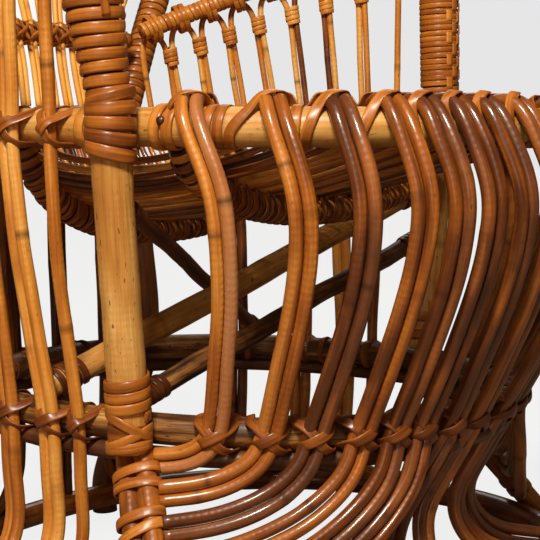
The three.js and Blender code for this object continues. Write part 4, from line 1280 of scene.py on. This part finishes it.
# Place, turn in degrees and reach of the peel along the front rail: over each pair's crest, round the rail
# beside it, then up to the next crest.
def railPeelKeys(crests, low, over):
    pitch = railPeel["width"] + 0.3
    keys, turn = [], 0.0
    for k, crest in enumerate(crests):
        keys += [
            (crest - pairHalf - 1.5, turn + 54, low + 2), (crest - pairHalf * 0.66, turn + 66, over - 0.3),
            (crest, turn + 73, over + 0.3), (crest + pairHalf * 0.66, turn + 82, over - 0.3),
            (crest + pairHalf + 2, turn + 150, low),
        ]
        if k + 1 < len(crests):
            free = crests[k + 1] - crest - 2 * pairHalf
            loops = 1 + int(np.clip((free - 9) // pitch, 0, 2))
            last = 360 * loops - 12
            keys += [(crest + pairHalf + 2 + pitch * (last - 165) / 360, turn + last, low)]
            turn += 360 * loops
    return np.array(keys)


def buildRailPeel():
    shape = newShape()
    places = sorted(side * place * quarter for side in (-1, 1) for place in skirt["seat"][side])
    crests = np.interp(places, railAngles, railLengths)
    over = seatHoop["radius"] + 2 * caneRadius + 0.6 + railPeel["thickness"] / 2
    low = seatHoop["radius"] + railPeel["thickness"] / 2
    keys = railPeelKeys(crests, low, over)
    steps = np.hypot(np.radians(np.diff(keys[:, 1])) * seatHoop["radius"], np.diff(keys[:, 0]))
    marks = np.concatenate([[0], np.cumsum(steps)])
    fine = np.linspace(0, marks[-1], int(marks[-1] / 2.2))
    place, psi, reach = (relaxed(np.interp(fine, marks, keys[:, k]), passes)
                         for k, passes in enumerate((6, 4, 6)))
    addRailPeel(shape, place, np.radians(psi), reach, railPeel["width"], 0.5)
    # a second, straighter peel lies along the tops, and its hump over each crest is s s (3 - 2 s)
    fine = np.linspace(crests[0] - railPeel["topReach"], crests[-1] + railPeel["topReach"], 900)
    near = np.min(np.abs(fine[:, None] - crests[None]), axis=1)
    hump = np.clip((pairHalf + railPeel["topRise"] - near) / railPeel["topRise"], 0, 1)
    hump = hump * hump * (3 - 2 * hump)
    reach = relaxed(low + 1.8 + (over + railPeel["thickness"] - low - 1.8) * hump, 4)
    addRailPeel(shape, fine, np.radians(132 - 6 * hump), reach, railPeel["topWidth"], 0.36)
    makePiece("rail_peel", shape, peelSkin, "peel")


# A crossed tie over the cane or pair at this place on a hoop.
def addTie(shape, plan, place, half, tint, **how):
    spot = hoopFrame(plan, place * quarter)
    addCross(shape, spot, plan["radius"], half, caneRadius + 0.4, tint=tint, **how)


def buildWaistTies():
    shape = newShape()
    for side in (-1, 1):
        for place in skirt["waist"]:
            addTie(shape, waistHoop, side * place, pairHalf, rng.uniform(0.2, 0.36))
        halves = [caneRadius] + [pairHalf] * (len(sidePairs["seat"]) - 1)
        for half, place in zip(halves, sidePairs["waist"]):
            addTie(shape, waistHoop, side * place, half, rng.uniform(0.22, 0.4))
        for half, place in zip(halves, sidePairs["seat"]):
            addTie(shape, seatHoop, side * place, half, rng.uniform(0.3, 0.44), width=9.5, spread=4.6)
    makePiece("waist_ties", shape, peelSkin, "peel")


# The wrap at a post's foot, the bands that hold it to both hoops, those down the leg, and the nail.
def buildJointTies(side, label):
    shape = newShape()
    addWinding(shape, postPath(side), postRadius, 27, 3.2, 8.8, 8.6, 2.6, hint=forward, tint=0.5)
    makePiece("foot_peel_" + label, shape, peelSkin, "peel", "post_wrap_" + label)
    shape = newShape()
    foot, top = (postPlace(plan, side, postRadius, 0) for plan in (waistHoop, seatHoop))
    outer = np.array([side * 0.565, 0.825, 0.0])
    away = np.array([side * -0.825, 0.565, 0.0])
    addBand(shape, foot - 0.5 * up, up, outer, postRadius + 0.1, 18, 1.0, tint=0.24)
    for rise, tip, width in footBands:
        addBand(shape, foot + rise * up, up, outer, postRadius + 0.7, width, 2.2, tip=tip,
                tint=rng.uniform(0.4, 0.6))
    head, knee, _ = legPoints(side)
    for height, tip in legBands:
        addBand(shape, legPointAt(side, height), unit(head - knee), legAlong(side, height),
                leg["caneRadius"] + 0.6, 8.4, 2.2, tip=tip, tint=rng.uniform(0.4, 0.62), stretch=1.86)
    for rise, tip in jointBands:
        addBand(shape, top + rise * up, up, away, postRadius + 0.6, 10.4, 3.4, tip=tip,
                turnTip=quarter + rng.uniform(-0.4, 0.4), tint=rng.uniform(0.36, 0.5))
    addBand(shape, top + 21 * up, up, -outer, postRadius + 0.2, 8.6, 3.2, tip=4.5, tint=0.4)
    for y, tint in railBands:
        spot = hoopFrame(seatHoop, side * angleAtY(seatHoop, y))
        addBand(shape, spot["centre"], spot["along"], up, seatHoop["radius"] + 0.4, 8.8, 2.4,
                tip=rng.uniform(0.8, 2), tint=tint)
    addNail(shape, hoopFrame(seatHoop, side * angleAtY(seatHoop, nailY)), seatHoop["radius"] + 2.6)
    makePiece("joint_ties_" + label, shape, peelSkin, "peel")


buildRailPeel()
buildWaistTies()
for side, label in bothSides:
    buildJointTies(side, label)
print("lashings made")

# Floor, backdrop and light

studio = {"floorShade": 0.955, "floorReach": 12, "floorGlow": 0.88, "wallLeft": 0.97, "wallRight": 0.79,
          "floorBounce": (0.26, 0.2, 0.14, 1), "floorSeen": (0.78, 0.78, 0.78, 1),
          "ambientColour": (1.0, 0.76, 0.5, 1), "ambient": 0.11,
          "wallWay": (0.565, -0.825, 0), "wallEdge": (-0.17, -0.09)}
lamps = {
    "key": {"place": (-1.55, -0.86, 2.05), "target": 0.45, "size": 0.45, "power": 76,
            "colour": (1.0, 0.92, 0.8)},
    "fill": {"place": (-2.6, -1.1, 0.62), "target": 0.3, "size": 1.2, "power": 6, "colour": (1.0, 0.88, 0.7)},
    "rim": {"place": (2.2, 1.4, 2.2), "target": 0.5, "size": 1.2, "power": 10, "colour": (1.0, 0.97, 0.94)},
}


# The floor shows the camera a pale even shade with the chair's shadow, and gives it a warm bounce.
def buildStage():
    mesh = bpy.data.meshes.new("floor")
    reach = studio["floorReach"]
    corners = ((-reach, -reach), (reach, -reach), (reach, reach), (-reach, reach))
    mesh.from_pydata([(x, y, -0.001) for x, y in corners], [], [(0, 1, 2, 3)])
    floor = addObject("floor", mesh)
    material = bpy.data.materials.new("floor")
    material.use_nodes = True
    tree = material.node_tree
    tree.nodes.clear()
    glow = put(tree, "Emission", {"Color": (*(studio["floorShade"],) * 3, 1), "Strength": 1.0})
    seen = put(tree, "LightPath", {}).outputs["Is Camera Ray"]
    shade = blended(tree, seen, studio["floorBounce"], studio["floorSeen"])
    matt = put(tree, "BsdfDiffuse", {"Color": shade})
    share = maths(tree, "MULTIPLY", seen, studio["floorGlow"])
    mixed = put(tree, "MixShader", {0: share, 1: matt.outputs[0], 2: glow.outputs[0]})
    put(tree, "OutputMaterial", {"Surface": mixed.outputs[0]})
    mesh.materials.append(material)


# The wall is darker on the right, where the part of the view's direction along wallWay is greater.
def buildWorld():
    world = bpy.data.worlds.new("studio")
    bpy.context.scene.world = world
    world.use_nodes = True
    tree = world.node_tree
    tree.nodes.clear()
    seen = put(tree, "LightPath", {}).outputs["Is Camera Ray"]
    ambient = put(tree, "Background", {"Color": studio["ambientColour"], "Strength": studio["ambient"]})
    way = put(tree, "TexCoord", {}).outputs["Generated"]
    sideways = put(tree, "VectorMath", {0: way, 1: studio["wallWay"]}, operation="DOT_PRODUCT")
    sideways = sideways.outputs["Value"]
    shade = ranged(tree, sideways, *studio["wallEdge"], studio["wallLeft"], studio["wallRight"])
    wall = put(tree, "Background", {"Color": shade, "Strength": 1.0})
    mixed = put(tree, "MixShader", {0: seen, 1: ambient.outputs[0], 2: wall.outputs[0]})
    put(tree, "OutputWorld", {"Surface": mixed.outputs[0]})


def addLamp(name, lamp):
    data = bpy.data.lights.new(name, "AREA")
    data.shape = "RECTANGLE"
    data.size = data.size_y = lamp["size"]
    data.energy = lamp["power"]
    data.color = lamp["colour"]
    light = addObject(name, data)
    light.location = lamp["place"]
    aim = Vector((0, 0, lamp["target"])) - Vector(lamp["place"])
    light.rotation_euler = aim.to_track_quat("-Z", "Y").to_euler()


buildStage()
buildWorld()
for name, lamp in lamps.items():
    addLamp(name, lamp)
bpy.context.scene.view_settings.view_transform = "Standard"
